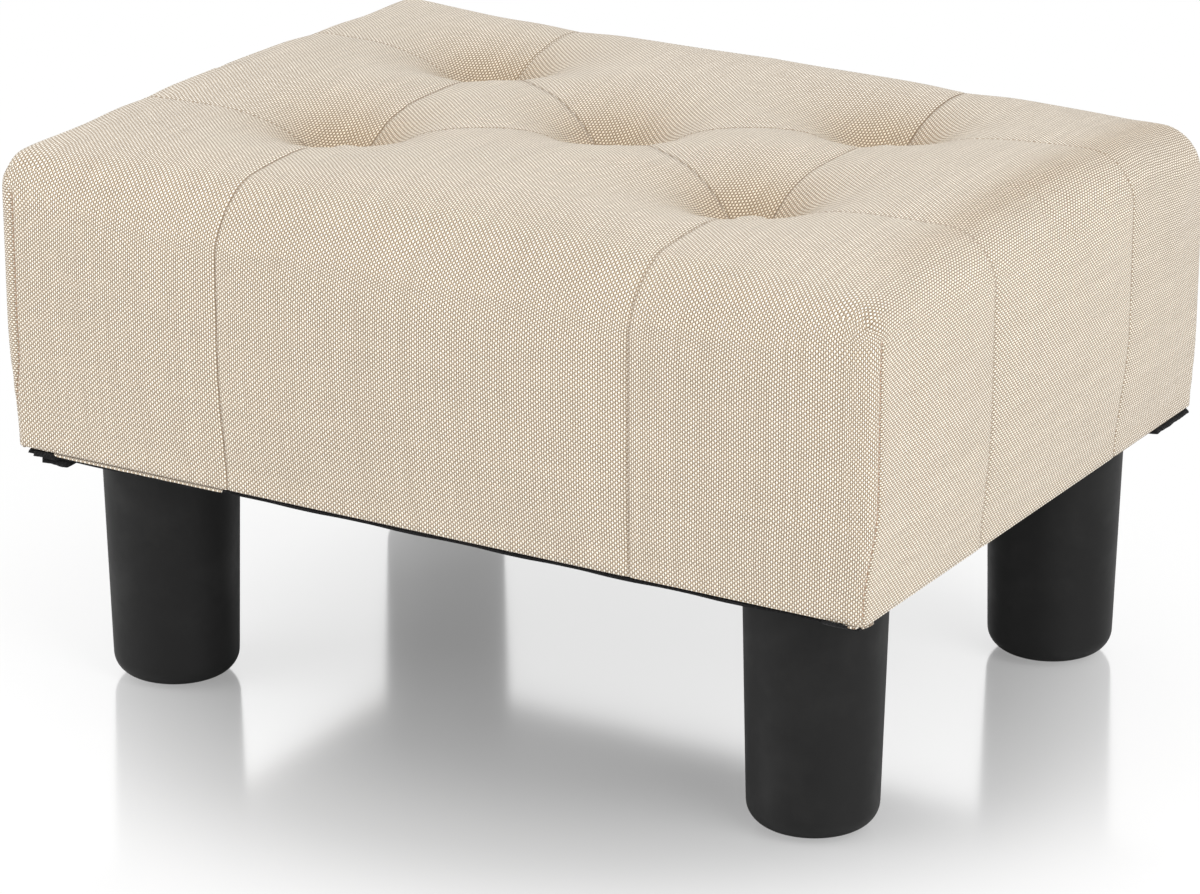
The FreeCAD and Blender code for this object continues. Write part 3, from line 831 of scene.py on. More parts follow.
def linen(name, shade=1.0):
    """The cover's cloth; shade scales all of its colour, to paint it lighter or darker."""
    material, tree, shader = new_material(name, 0.88, Sheen_Weight=0.35, Sheen_Roughness=0.45,
                                          Sheen_Tint=(1.0, 0.96, 0.9, 1), Specular_IOR_Level=0.25)
    cloth = vector_maths(tree, "MULTIPLY", cloth_place(tree), FEWER_ACROSS)
    woven = place_group(tree, WEAVE, Cloth=cloth, Threads_per_metre=THREADS, Light_thread=LINEN_LIGHT,
                        Dark_thread=LINEN_DARK, Gap=LINEN_GAP, Unevenness=0.34)
    tone = place_group(tree, CLOUDS, Place=object_place(tree), Scale=14.0, Amount=0.09)["Tone"]
    tinted = vector_maths(tree, "SCALE", woven["Colour"], maths(tree, "MULTIPLY", tone, shade))
    # Two masks of painted shade: seam darkens the colour along every seam, hollow darkens and warms it
    # in the tufts' hollows and along the right-hand end's edge.
    seam = node(tree, "ShaderNodeAttribute", attribute_name="seam").outputs["Fac"]
    hollow = node(tree, "ShaderNodeAttribute", attribute_name="hollow").outputs["Fac"]
    # Painted shade: where the hollow mask is, the colour turns darker and warmer.
    painted_hollow_shade = mix_colour(tree, hollow, tinted, vector_maths(tree, "MULTIPLY", tinted, HOLLOW_PAINTED_SHADE))
    colour = mix_colour(tree, seam, painted_hollow_shade, SEAM_PAINTED_SHADE)
    wire(tree, colour, shader["Base Color"])
    bump(tree, woven["Height"], 0.8, 0.00036, shader["Normal"])
    return material


COVER_CLOTH = linen("cover_cloth")
# The buttons wear the cover's own cloth, painted 3% lighter all over: painted light.
BUTTON_CLOTH = linen("button_cloth", 1.03)
print("cloth finishes", COVER_CLOTH.name, BUTTON_CLOTH.name)

# %% [markdown]
# ## The cover's panels
# Now the fine grid is bent, the simulated change is laid on, and the cloth turns in along every
# seam: a narrow groove, a wider dip, and small puckers where the thread draws the cloth together.
# Each of the ten panels becomes a piece of its own, with the thickness of the cloth.

# %% Seams on the fine surface
DART_TOP = 229.0                       # where the upright corner seams end
NARROW, WIDE, PUCKER = (0.50, 0.55), (0.20, 2.6), (0.07, 2.2)     # depth and width of each
# how deep each seam lies: the straight ones down the long walls, those down the ends, those from
# the buttons to the ends, the diagonals, and the upright corners
DEEP_LONG, DEEP_END, DEEP_END_TOP, DEEP_CROSS, DEEP_DART = 1.0, 0.6, 0.2, 0.26, 1.15
PUCKER_EVERY = 6.3


def seam_depths(points, kinds_top):
    """Groove depth and painted seam shade at layout points; kinds_top is true on the seat."""
    x, y, z = points.T
    straight, ends, cross = seam_distances(x, y)
    deep_x, deep_y = HALF_X - np.abs(x), HALF_Y - np.abs(y)
    on_end = ~kinds_top & (deep_x < HAIR) & (deep_y > HAIR)
    on_side = ~kinds_top & (deep_y < HAIR) & (deep_x > HAIR)
    far = np.full_like(x, 99.0)
    d_long = np.where(on_side | kinds_top, straight, far)
    d_end = np.where(on_end, np.abs(np.abs(y) - SEAM_Y), far)
    d_end_top = np.where(kinds_top, ends, far)
    d_cross = np.where(kinds_top & (np.abs(x) <= SEAM_X + HAIR), cross, far)
    d_dart = np.where(kinds_top, far, np.maximum(deep_x, deep_y))
    dart_on = smooth(DART_TOP + 2 - z, 0, 5)
    along = x + y + z * 1.3
    pucker = np.sin(along * 2 * math.pi / PUCKER_EVERY + 1.7 * np.sin(along * 0.11))
    depth, shade = np.zeros_like(x), np.zeros_like(x)
    for d, deep, on in ((d_long, DEEP_LONG, 1.0), (d_end, DEEP_END, 1.0),
                        (d_end_top, DEEP_END_TOP, 1.0), (d_cross, DEEP_CROSS, 1.0),
                        (d_dart, DEEP_DART, dart_on)):
        groove = sum(low * np.exp(-(d / width) ** 2) for low, width in (NARROW, WIDE))
        depth = np.maximum(depth, deep * on * groove)
        beside = np.exp(-((d - WIDE[1]) / PUCKER[1]) ** 2)
        depth = depth - PUCKER[0] * deep * on * pucker * beside
        # painted shade: a dark line right along each seam
        shade = np.maximum(shade, 0.62 * deep * on * np.exp(-(d / 0.3) ** 2))
    near = nearest_tuft(points) + 99.0 * ~kinds_top
    return depth * smooth(near, 5, 13), np.clip(shade * smooth(near, 6, 12), 0, 1)


def hollows(points, kinds_top):
    """How much painted shade each point gets: in the hollow of a tuft, and in a band along the
    right-hand end's rounded edge.
    """
    px, py = plan_shift(points[:, 0], points[:, 1])
    deep = np.zeros(len(points))
    for sx, sy in TUFTS.values():
        r, pressed = from_tuft(px, py, sx, sy)
        deep = np.maximum(deep, np.exp(-(r / (27 - 10 * pressed)) ** 2))
    # a band of painted shade along the rounded edge of the right-hand end, where less light falls
    band = 0.5 * np.exp(-((px - 186) / 11.0) ** 2) * smooth(py, -150, -20)
    return np.where(kinds_top, np.maximum(deep, band), 0.0)


# %% Fine surface
FINE = box_lines(3.0, 78, True)
layout, quads, quad_kinds = box_faces(FINE)
on_top = layout[:, 2] > CROWN - HAIR
tight = on_cover(layout)
normals = surface_normals(tight, quads)
depths, painted_seam_shade = seam_depths(layout, on_top)
skin = tight - normals * depths[:, None]
print("cover grid:", len(layout), "points,", len(quads), "faces")

# %% [markdown]
# Under the body the cloth turns in over the rail and is stapled there. That turn-in is four more
# rows of faces, from the bottom edge inwards. Then every face is given to its panel, and the
# faces on a diagonal seam are split along it.

# %% Turn-in under the rails
TURN_IN = ((0.4, 0.22), (1.4, 0.3), (6.0, 0.3), (14.0, 0.28))  # inward and down from the edge
edge = np.flatnonzero(layout[:, 2] < HEM + HAIR)
order = np.argsort(np.arctan2(layout[edge, 1] / HALF_Y, layout[edge, 0] / HALF_X))
ring = edge[order]
in_x = (np.abs(np.abs(layout[ring, 0]) - HALF_X) < HAIR) * -np.sign(layout[ring, 0])
in_y = (np.abs(np.abs(layout[ring, 1]) - HALF_Y) < HAIR) * -np.sign(layout[ring, 1])
hem_points, hem_layout, hem_faces, last = [], [], [], ring
for inward, down in TURN_IN:
    step = np.stack([in_x * inward, in_y * inward, np.full(len(ring), -down)], axis=1)
    flat_step = np.stack([in_x * inward, in_y * inward, np.full(len(ring), -inward)], axis=1)
    index = np.arange(len(ring)) + len(skin) + len(hem_points) * len(ring)
    hem_points.append(skin[ring] + step)
    hem_layout.append(layout[ring] + flat_step)
    quads_round = np.stack([np.roll(last, -1), last, index, np.roll(index, -1)], axis=1)
    hem_faces += [tuple(quad) for quad in quads_round.tolist()]
    last = index
all_points = np.concatenate([skin] + hem_points)
all_layout = np.concatenate([layout] + hem_layout)
all_painted_seam_shade = np.concatenate([painted_seam_shade, np.zeros(len(all_points) - len(painted_seam_shade))])
all_painted_hollow_shade = np.concatenate([hollows(layout, on_top), np.zeros(len(all_points) - len(painted_seam_shade))])
print("turn-in:", len(hem_faces), "faces")

# %% Cut the diagonals and name each face's panel
def cut_faces():
    """Faces as tuples; those on a diagonal seam are split along it."""
    out, kinds = [], []
    for quad, kind in zip(quads, quad_kinds):
        x, y = np.abs(layout[quad, 0]), np.abs(layout[quad, 1])
        parts = [tuple(quad)]
        if kind == "t" and (x <= SEAM_X + HAIR).all() and (y <= SEAM_Y + HAIR).all():
            on = np.abs(x / SEAM_X - y / SEAM_Y) < 1e-5
            if on[0] and on[2]:
                parts = [tuple(quad[[0, 1, 2]]), tuple(quad[[0, 2, 3]])]
            elif on[1] and on[3]:
                parts = [tuple(quad[[1, 2, 3]]), tuple(quad[[1, 3, 0]])]
        out += parts
        kinds += [kind] * len(parts)
    return out, kinds


def panel_of(centre):
    """The name of the panel that a face belongs to, from its middle on the layout."""
    x, y = centre[0], centre[1]
    left_right = "left" if x < 0 else "right"
    front_back = "front" if y < 0 else "back"
    beyond_x, beyond_y = abs(x) > SEAM_X, abs(y) > SEAM_Y
    if beyond_x and beyond_y:
        return "cover_corner_" + front_back + "_" + left_right
    if beyond_x:
        return "cover_" + left_right
    if beyond_y or abs(y) * SEAM_X > abs(x) * SEAM_Y:
        return "cover_" + front_back
    return "cover_centre_" + left_right


faces, kinds = cut_faces()
faces += hem_faces
kinds += ["hem"] * len(hem_faces)
panels = {}
for number, (face, kind) in enumerate(zip(faces, kinds)):
    centre = all_layout[list(face)].mean(axis=0)
    if kind == "hem":                  # the turn-in is cut from the same cloth as its wall
        if abs(abs(centre[0]) - HALF_X) < abs(abs(centre[1]) - HALF_Y):
            kinds[number] = "l" if centre[0] < 0 else "r"
        else:
            kinds[number] = "f" if centre[1] < 0 else "b"
    panels.setdefault(panel_of(centre), []).append(number)
print({name: len(members) for name, members in panels.items()})


# %% Cloth coordinates
EDGE_ROLL = 20                         # an edge's rounding, as far as the cloth's length goes


def unrolled(deep, radius):
    """Length along the cloth from a rolled edge, for a depth below it."""
    return np.where(deep < radius, deep * math.pi / 4, deep - radius * (1 - math.pi / 4))


def cloth_uv(points, kind):
    """Where a layout point lies on the flat cloth, in millimetres."""
    x, y, z = points.T
    d = twist(points)
    full_x, full_y = (half - EDGE_ROLL * (1 - math.pi / 4) for half in (HALF_X, HALF_Y))
    u = np.sign(x) * (full_x - unrolled(HALF_X - np.abs(x), EDGE_ROLL))
    v = np.sign(y) * (full_y - unrolled(HALF_Y - np.abs(y), EDGE_ROLL))
    down = unrolled(CROWN - z, EDGE_ROLL)
    if kind in "lr":
        u = np.sign(x) * (full_x + down)
        v = y + d * (1 if kind == "r" else -1)
    if kind in "fb":
        v = np.sign(y) * (full_y + down)
        u = x + d * (1 if kind == "f" else -1)
    return np.stack([u, v], axis=1)


# %% Build the panels
CLOTH_THICK = 1.1
UV_BY_KIND = {kind: cloth_uv(all_layout, kind) for kind in "tfblr"}


def add_piece(name, points, faces, material, body="stool_body", replaces=(), uv=None,
              thick=0.0):
    """A smooth mesh piece from millimetres, riding on a body; uv holds one pair per face corner."""
    mesh = bpy.data.meshes.new(name)
    mesh.from_pydata((np.asarray(points, float) * MM).tolist(), [],
                     [[int(i) for i in f] for f in faces])
    mesh.validate()
    if uv is not None:
        layer = mesh.uv_layers.new(name="cloth")
        layer.data.foreach_set("uv", (np.asarray(uv, float) * MM).ravel())
    mesh.polygons.foreach_set("use_smooth", [True] * len(mesh.polygons))
    mesh.materials.append(material)
    piece = bpy.data.objects.new(name, mesh)
    scene.collection.objects.link(piece)
    if thick:
        solid = piece.modifiers.new("thickness", "SOLIDIFY")
        solid.thickness = thick * MM
        solid.offset = -1
    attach(piece, body)
    if replaces:
        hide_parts(*replaces)
    return piece


def build_panel(name, members, shift):
    """One panel of the cover; shift keeps its threads from lining up with its neighbour's."""
    used = sorted({i for n in members for i in faces[n]})
    number = {old: new for new, old in enumerate(used)}
    uv = np.concatenate([UV_BY_KIND[kinds[n]][list(faces[n])] for n in members]) + shift
    own_faces = [[number[i] for i in faces[n]] for n in members]
    piece = add_piece("sewn_" + name, all_points[used], own_faces, COVER_CLOTH, replaces=[name],
                      uv=uv, thick=CLOTH_THICK)
    # the two masks of painted shade, seam and hollow, go onto each panel
    for label, values in (("seam", all_painted_seam_shade), ("hollow", all_painted_hollow_shade)):
        mark = piece.data.attributes.new(label, "FLOAT", "POINT")
        mark.data.foreach_set("value", values[used].astype(np.float32))


for place, (name, members) in enumerate(sorted(panels.items())):
    build_panel(name, members, np.array([0.37 * place, 0.61 * place]))
print("panels built:", len(panels))

# %% [markdown]
# ## Wadding and foam
# Under the cloth lies a layer of polyester wadding, and under that the seat's foam block. Both
# follow the cover's own surface, some millimetres further in, so nothing can poke through a seam.
# The wadding thins out over the wooden rails, and the foam ends on the board.

# %% Fibre and foam finishes
def wadding_material():
    material, tree, shader = new_material("polyester_wadding", 0.95, Sheen_Weight=0.4)
    fibres = place_group(tree, FIBRES, Place=object_place(tree), Scale=1500.0,
                         Colour=(0.80, 0.80, 0.78, 1), Fibre_colour=(0.93, 0.93, 0.92, 1))
    wire(tree, fibres["Colour"], shader["Base Color"])
    bump(tree, fibres["Height"], 0.8, 0.0006, shader["Normal"])
    return material


def foam_material():
    material, tree, shader = new_material("open_cell_foam", 0.9)
    place = object_place(tree)
    cells = node(tree, "ShaderNodeTexVoronoi")
    wire(tree, place, cells.inputs["Vector"])
    cells.inputs["Scale"].default_value = 1400.0
    tone = place_group(tree, CLOUDS, Place=place, Scale=18.0, Amount=0.12)["Tone"]
    pores = mix_colour(tree, ramp(tree, cells.outputs["Distance"], 0.1, 0.6), (0.58, 0.50, 0.30, 1),
                       (0.86, 0.80, 0.58, 1))
    wire(tree, vector_maths(tree, "SCALE", pores, tone), shader["Base Color"])
    bump(tree, cells.outputs["Distance"], 0.7, 0.0005, shader["Normal"])
    return material


# %% Wadding
RAIL_X, RAIL_Y, RAIL_LOW, BOARD_TOP = 197.5, 148.5, 108.8, 191.8
WADDING_THICK, LAYER_GAP = 3.6, 0.15   # the gap keeps neighbouring layers from touching


def wadding_inside(outer, away):
    """The inner face of the wadding: its thickness further in, but never inside the rails."""
    inner = outer - away * WADDING_THICK
    beside = outer[:, 2] < BOARD_TOP + 4
    for axis, rail in ((0, RAIL_X + 0.1), (1, RAIL_Y + 0.1)):
        facing = beside & (np.abs(away[:, axis]) > 0.5)
        far_in = np.maximum(np.abs(inner[facing, axis]), rail)
        inner[facing, axis] = np.sign(outer[facing, axis]) * far_in
    return inner


wad_used = np.flatnonzero(layout[:, 2] > RAIL_LOW + 1)
wad_number = -np.ones(len(layout), int)
wad_number[wad_used] = np.arange(len(wad_used))
wad_quads = wad_number[quads[(wad_number[quads] >= 0).all(axis=1)]]
wad_outer = skin[wad_used] - normals[wad_used] * (CLOTH_THICK + LAYER_GAP)
wad_inner = wadding_inside(wad_outer, normals[wad_used])
inside = len(wad_used)                 # the inner points follow the outer ones
wad_faces = [list(f) for f in wad_quads] + [list(f[::-1] + inside) for f in wad_quads]
edges = {(int(a), int(b)) for f in wad_quads for a, b in zip(f, np.roll(f, -1))}
wad_faces += [[b, a, a + inside, b + inside] for a, b in sorted(edges) if (b, a) not in edges]
wadding = add_piece("wadding_layer", np.concatenate([wad_outer, wad_inner]), wad_faces,
                    wadding_material(), replaces=["wadding_wrap"])
print("wadding", len(wad_faces), "faces")

# %% Foam block
FOAM_IN = 6.4                          # the foam's surface below the cloth's
x_lines, y_lines, _ = box_lines(6.0, 38, False)
foam_lines = (x_lines, y_lines, np.linspace(BOARD_TOP + FOAM_IN, CROWN, 9))
foam_layout, foam_quads, _ = box_faces(foam_lines)
foam_normals = surface_normals(on_cover(foam_layout), foam_quads)
foam_points = on_cover(foam_layout) - foam_normals * FOAM_IN
low = foam_layout[:, 2] < BOARD_TOP + FOAM_IN + 0.1
foam_points[low, 2] = BOARD_TOP + LAYER_GAP
foam_faces = [list(f) for f in foam_quads]
edge = np.flatnonzero(low)
edge = edge[np.argsort(np.arctan2(foam_layout[edge, 1] / HALF_Y, foam_layout[edge, 0] / HALF_X))]
foam_faces.append(list(edge[::-1]))
foam = add_piece("seat_foam_block", foam_points, foam_faces, foam_material(),
                 replaces=["seat_foam"])
print("foam", len(foam_faces), "faces")

# %% [markdown]
# ## Covered buttons
# Each button is a metal shell wrapped in a disc of the same cloth. The cloth is smooth on top and
# gathers in small pleats where it is tucked over the rim, so the dome is turned first and its rim
# is then pushed in and out by a wave that dies away towards the middle.

# %% Turning helper
def tube_faces(rings, segments, start=0):
    """Quads between rings of points that follow one another, counted from start."""
    faces = []
    for i in range(rings - 1):
        for k in range(segments):
            after = (k + 1) % segments
            faces.append(tuple(start + n for n in (i * segments + k, i * segments + after,
                                                   (i + 1) * segments + after, (i + 1) * segments + k)))
    return faces


def tube_ends(rings, segments, start=0):
    """The two faces that close a tube of rings."""
    last = start + (rings - 1) * segments
    return [tuple(start + k for k in range(segments))[::-1], tuple(last + k for k in range(segments))]


def turn(profile, centre, segments=64, wave=None, close=True):
    """A surface of revolution from (radius, height) pairs; wave moves points in or out."""
    points = []
    rings = len(profile)
    for i, (radius, height) in enumerate(profile):
        for k in range(segments):
            a = 2 * math.pi * k / segments
            r, h = (radius, height) if wave is None else wave(radius, height, a, i / (rings - 1))
            points.append((centre[0] + r * math.cos(a), centre[1] + r * math.sin(a), h))
    return points, tube_faces(rings, segments) + (tube_ends(rings, segments) if close else [])


def flat_uv(points, faces):
    """Cloth coordinates straight from above."""
    return [(points[i][0], points[i][1]) for f in faces for i in f]


# %% Buttons
BUTTON_SEAT, BUTTON_R, BUTTON_H = 225.5, 10.0, 5.6
RIM_HIGH = 1.9                         # where the rim ends and the dome starts, above the seat


def button_profile():
    """From the middle of the underside out, round the rim and up to the middle of the dome."""
    under = [(7.2, 0.5), (8.6, 0.05), (9.5, 0.15)]
    rim = [(BUTTON_R - 0.032 * (i - 3) ** 2, 0.5 + 0.35 * i) for i in range(6)]
    dome = []
    for i in range(1, 15):
        a = math.pi / 2 * i / 14
        dome.append((max(0.12, BUTTON_R * math.cos(a) ** 0.92),
                     RIM_HIGH + (BUTTON_H - RIM_HIGH) * math.sin(a)))
    return [(r, BUTTON_SEAT + h) for r, h in under + rim + dome]


for count, (name, (sx, sy)) in enumerate(TUFTS.items()):
    phase = 0.9 * count

    def pleats(radius, height, angle, share):
        near_rim = math.exp(-((height - BUTTON_SEAT - 0.9) / 1.4) ** 2)
        fold = 0.16 * math.sin(17 * angle + phase) + 0.10 * math.sin(29 * angle + 2.1 * phase)
        lift = 0.09 * math.sin(3 * angle + phase) * radius / BUTTON_R
        return radius * (1 + 0.06 * fold * near_rim) + fold * near_rim * 0.6, height + lift

    points, button_faces = turn(button_profile(), (sx * TUFT_X, sy * TUFT_Y), 96, pleats)
    button = add_piece("covered_button_" + name, points, button_faces, BUTTON_CLOTH,
                       replaces=["tuft_button_" + name],
                       uv=flat_uv(points, button_faces))
print("buttons", len(TUFTS))

# %% [markdown]
# ## Stitches
# The seams are plain lock-stitched seams: from outside one sees a fine line where two panels turn
# in, and in it, sunk between them, short runs of thread. They are made one by one as small
# rounded rods laid along each seam's own line, in the bottom of its groove. The upright corners
# are sewn with a thicker, redder thread.

# %% Lines along the seams
FROM_BUTTON = 9                        # a seam's thread ends this far from a button's middle
BODY_MIDDLE = (0, 0, 150)              # about the middle of the body; outward is away from it


def seam_line(start, end, pieces=600):
    """Layout points along a straight seam on one side of the box."""
    share = np.linspace(0, 1, pieces)[:, None]
    return np.array(start) * (1 - share) + np.array(end) * share


def seam_lines():
    """Every seam of seat and walls as a run of layout points."""
    lines = []
    top, hem, off = CROWN, HEM + 1.0, FROM_BUTTON
    for sx in (-1, 1):
        for sy in (-1, 1):
            x, y = sx * SEAM_X, sy * SEAM_Y
            lines.append([seam_line((x, sy * HALF_Y, hem), (x, sy * HALF_Y, top - 0.01)),
                          seam_line((x, sy * HALF_Y, top), (x, y + sy * off, top))])
            lines.append([seam_line((sx * HALF_X, y, hem), (sx * HALF_X, y, top - 0.01)),
                          seam_line((sx * HALF_X, y, top), (x + sx * off, y, top))])
            lines.append([seam_line((x - sx * off, y * (1 - off / SEAM_X), top),
                                    (sx * off, y * off / SEAM_X, top))])
        x = sx * SEAM_X
        lines.append([seam_line((x, -SEAM_Y + off, top), (x, SEAM_Y - off, top))])
    return [np.concatenate(parts) for parts in lines]


def surface_frame(points, reach=0.4):
    """Points on the cover with outward normals, from small steps on the layout."""
    here = on_cover(points)
    wall = points[:, 2] < CROWN - HAIR
    end = wall & (np.abs(points[:, 0]) > HALF_X - HAIR)
    step_a, step_b = np.zeros_like(points), np.zeros_like(points)
    step_a[:, 0] = np.where(end, 0, reach)
    step_a[:, 1] = np.where(end, reach, 0)
    step_b[:, 1] = np.where(wall, 0, reach)
    step_b[:, 2] = np.where(wall, reach, 0)
    step_b[wall & (points[:, 2] > CROWN - reach)] *= -1
    along, up = on_cover(points + step_a) - here, on_cover(points + step_b) - here
    cross = np.cross(along, up)
    outward = here - BODY_MIDDLE
    cross *= np.sign((cross * outward).sum(axis=1))[:, None]
    return here, cross / np.maximum(np.linalg.norm(cross, axis=1, keepdims=True), 1e-9)


# %% Thread runs
ROD_THICK = np.array([0.35, 0.9, 1.0, 0.9, 0.35])     # a stitch is thin where it dives in
ROD_LIFT = np.array([-0.7, 0.1, 0.35, 0.1, -0.7])     # and highest in its middle


def thread_runs(line, normals, stitch, gap, radius, sides=6):
    """Points and faces of short rounded rods laid one after another along a line."""
    length = np.concatenate([[0], np.cumsum(np.linalg.norm(np.diff(line, axis=0), axis=1))])
    points, faces = [], []
    for start in np.arange(0.5, length[-1] - stitch, stitch + gap):
        at = start + np.linspace(0, 1, len(ROD_THICK)) * stitch
        centre = np.stack([np.interp(at, length, line[:, i]) for i in range(3)], axis=1)
        up = np.stack([np.interp(at, length, normals[:, i]) for i in range(3)], axis=1)
        along = np.gradient(centre, axis=0)
        side = np.cross(along, up)
        side /= np.maximum(np.linalg.norm(side, axis=1, keepdims=True), 1e-9)
        base = len(points)
        for c, u, s, thick, lift in zip(centre, up, side, radius * ROD_THICK, radius * ROD_LIFT):
            for k in range(sides):
                a = 2 * math.pi * k / sides
                points.append(c + u * (lift + thick * math.sin(a)) + s * thick * math.cos(a))
        rod = tube_faces(len(at), sides, base) + tube_ends(len(at), sides, base)
        faces += [face[::-1] for face in rod]
    return points, faces


def thread_piece(name, lines, colour, depth, stitch, gap, radius):
    """All stitches of one thread; depth is how far they lie below the bottom of the groove."""
    points, faces = [], []
    for line in lines:
        here, up = surface_frame(line)
        groove = seam_depths(line, line[:, 2] > CROWN - HAIR)[0][:, None]
        more, rods = thread_runs(here - up * (groove + depth), up, stitch, gap, radius)
        faces += [tuple(i + len(points) for i in f) for f in rods]
        points += more
    material, tree, shader = new_material(name + "_thread", 0.55, Sheen_Weight=0.3)
    strands = place_group(tree, CLOUDS, Place=object_place(tree), Scale=700.0, Amount=0.35)["Tone"]
    wire(tree, vector_maths(tree, "SCALE", colour, strands), shader["Base Color"])
    bump(tree, strands, 0.4, 0.0001, shader["Normal"])
    add_piece(name, points, faces, material)
    print(name, len(faces), "faces")


thread_piece("seam_stitches", seam_lines(), (0.30, 0.215, 0.14),
             depth=0.06, stitch=2.5, gap=0.55, radius=0.2)
corner_seams = [seam_line((sx * HALF_X, sy * HALF_Y, HEM + 3), (sx * HALF_X, sy * HALF_Y, DART_TOP + 1))
                for sx, sy in TWIST]
thread_piece("corner_stitches", corner_seams, (0.36, 0.20, 0.115),
             depth=0.02, stitch=2.4, gap=0.5, radius=0.26)

# %% [markdown]
# ## Dust cover
# The underside is closed by a sheet of black non-woven cloth. Its edges are folded in once and
# stapled, so it hangs in shallow bays between the staples and its folded edge shows as a thin
# black line below the cover. The sheet is a grid with four holes for the leg bolts; its height
# comes from the staples: held up near them, hanging a little in between.

# %% Non-woven cloth
def dust_material():
    material, tree, shader = new_material("black_nonwoven", 0.9, Sheen_Weight=0.06,
                                          Specular_IOR_Level=0.15)
    place = object_place(tree)
    fibres = place_group(tree, FIBRES, Place=place, Scale=1300.0, Colour=(0.005, 0.005, 0.0055, 1),
                         Fibre_colour=(0.018, 0.018, 0.019, 1))
    tone = place_group(tree, CLOUDS, Place=place, Scale=30.0, Amount=0.4)["Tone"]
    wire(tree, vector_maths(tree, "SCALE", fibres["Colour"], tone), shader["Base Color"])
    dots = node(tree, "ShaderNodeTexVoronoi")
    wire(tree, vector_maths(tree, "MULTIPLY", place, (1.0, 1.0, 0.0)), dots.inputs["Vector"])
    dots.inputs["Scale"].default_value = 620.0
    dots.inputs["Randomness"].default_value = 0.15
    pressed = ramp(tree, dots.outputs["Distance"], 0.2, 0.34)
    height = maths(tree, "ADD", pressed, maths(tree, "MULTIPLY", fibres["Height"], 0.4))
    bump(tree, height, 0.6, 0.00022, shader["Normal"])
    return material


DUST_CLOTH = dust_material()

# %% How the dust cover hangs
DUST_LEFT, DUST_RIGHT, DUST_Y, DUST_FOLD = -199.0, 197.9, 150.6, 7.0   # its edges and its fold
DUST_HEIGHT, FOLD_HEIGHT = 107.16, 107.46    # the sheet, and the fold that lies on it
FOLD_LINES = (0.5, 2, 4.5, DUST_FOLD)
LEG_X, LEG_Y = 155.9, 107.8
HOLE = 5.4                             # radius of the hole for a leg's bolt


def staple_places():
    """Where the CAD's dust cover staples sit, as (x, y, runs along X)."""
    places = [(-175.5 + 50.143 * i + 9 * sy, sy * 141.5, True) for sy in (-1, 1) for i in range(8)]
    places += [(sx * 190.5, -126.5 + 50.6 * i + 9 * sx, False) for sx in (-1, 1) for i in range(6)]
    return places


def dust_edge(x, y):
    """Distance to the sheet's nearest edge."""
    return np.minimum.reduce([x - DUST_LEFT, DUST_RIGHT - x, DUST_Y - np.abs(y)])


def dust_fall(x, y):
    """How far the sheet hangs below the frame."""
    edge = dust_edge(x, y)
    nearest = np.full_like(x, 1e3)
    for px, py, along_x in staple_places():
        dx, dy = np.abs(x - px), np.abs(y - py)
        away = np.hypot(np.maximum(dx - 4, 0), dy) if along_x else np.hypot(dx, np.maximum(dy - 4, 0))
        nearest = np.minimum(nearest, away)
    bays = 0.55 * smooth(nearest, 2, 20) * np.exp(-edge / 16.0)
    creases = 0.20 * (1 + np.sin(x / 7.3 + 1.3 * np.sin(y / 31.0))) * np.exp(-np.abs(edge - 16) / 9.0)
    middle = 1.9 * smooth(edge, 15, 110)
    waves = 1 + np.sin(x / 23.0 + y / 37.0) * np.sin(y / 19.0 - x / 61.0)
    ripples = 0.32 * waves * smooth(edge, 8, 40)
    fall = bays + creases * smooth(nearest, 2, 10) + middle + ripples
    # the whole front edge hangs a little, and the front left corner more
    front_left = 1.5 * np.exp(-np.maximum(edge, 0) / 4.0) * smooth(-x, 92, 120) * smooth(-y, 0, 100)
    elsewhere = 1 - smooth(-x, 90, 100) * smooth(-y, 0, 100)
    front_edge = 0.75 * np.exp(-np.maximum(DUST_Y + y, 0) / 6.0) * elsewhere
    leg = np.minimum.reduce([np.hypot(x - sx * LEG_X, y - sy * LEG_Y) for sx, sy in CORNERS.values()])
    return fall * smooth(leg, 30.5, 46) + front_left * smooth(nearest, 1, 6) + front_edge


print("dust cover staples", len(staple_places()))


# %% Dust cover sheet
def folded(value, low, high):
    """A cloth coordinate that runs past an edge comes back inwards; also how far it is folded."""
    past = np.maximum(np.maximum(low - value, value - high), 0)
    return np.where(value > high, high - past, np.where(value < low, low + past, value)), past


def sheet_lines(low, high, step=4.0):
    """Grid lines over the sheet and its folds, closer together at the edges."""
    inside = np.linspace(low, high, int((high - low) / step) + 1)
    near = [low + e for e in (1.0, 2.5)] + [high - e for e in (1.0, 2.5)]
    folds = [low - e for e in FOLD_LINES] + [high + e for e in FOLD_LINES]
    return np.array(sorted(list(inside) + near + folds))


gu, gv = np.meshgrid(sheet_lines(DUST_LEFT, DUST_RIGHT), sheet_lines(-DUST_Y, DUST_Y), indexing="ij")
gx, past_x = folded(gu, DUST_LEFT, DUST_RIGHT)
gy, past_y = folded(gv, -DUST_Y, DUST_Y)
past = np.maximum(past_x, past_y)
main = DUST_HEIGHT - dust_fall(gx, gy) + 0.13 * np.exp(-np.maximum(dust_edge(gx, gy), 0) / 0.8)
upper = FOLD_HEIGHT - dust_fall(gx, gy) * np.exp(-past / 2.5) * 0.9
gz = np.where(past > 0, np.minimum(upper, FOLD_HEIGHT), main)
index = np.arange(gx.size).reshape(gx.shape)
cells = np.stack([index[:-1, :-1], index[:-1, 1:], index[1:, 1:], index[1:, :-1]], axis=-1)
cells = cells.reshape(-1, 4)
dust_points = np.stack([gx.ravel(), gy.ravel(), gz.ravel()], axis=1)

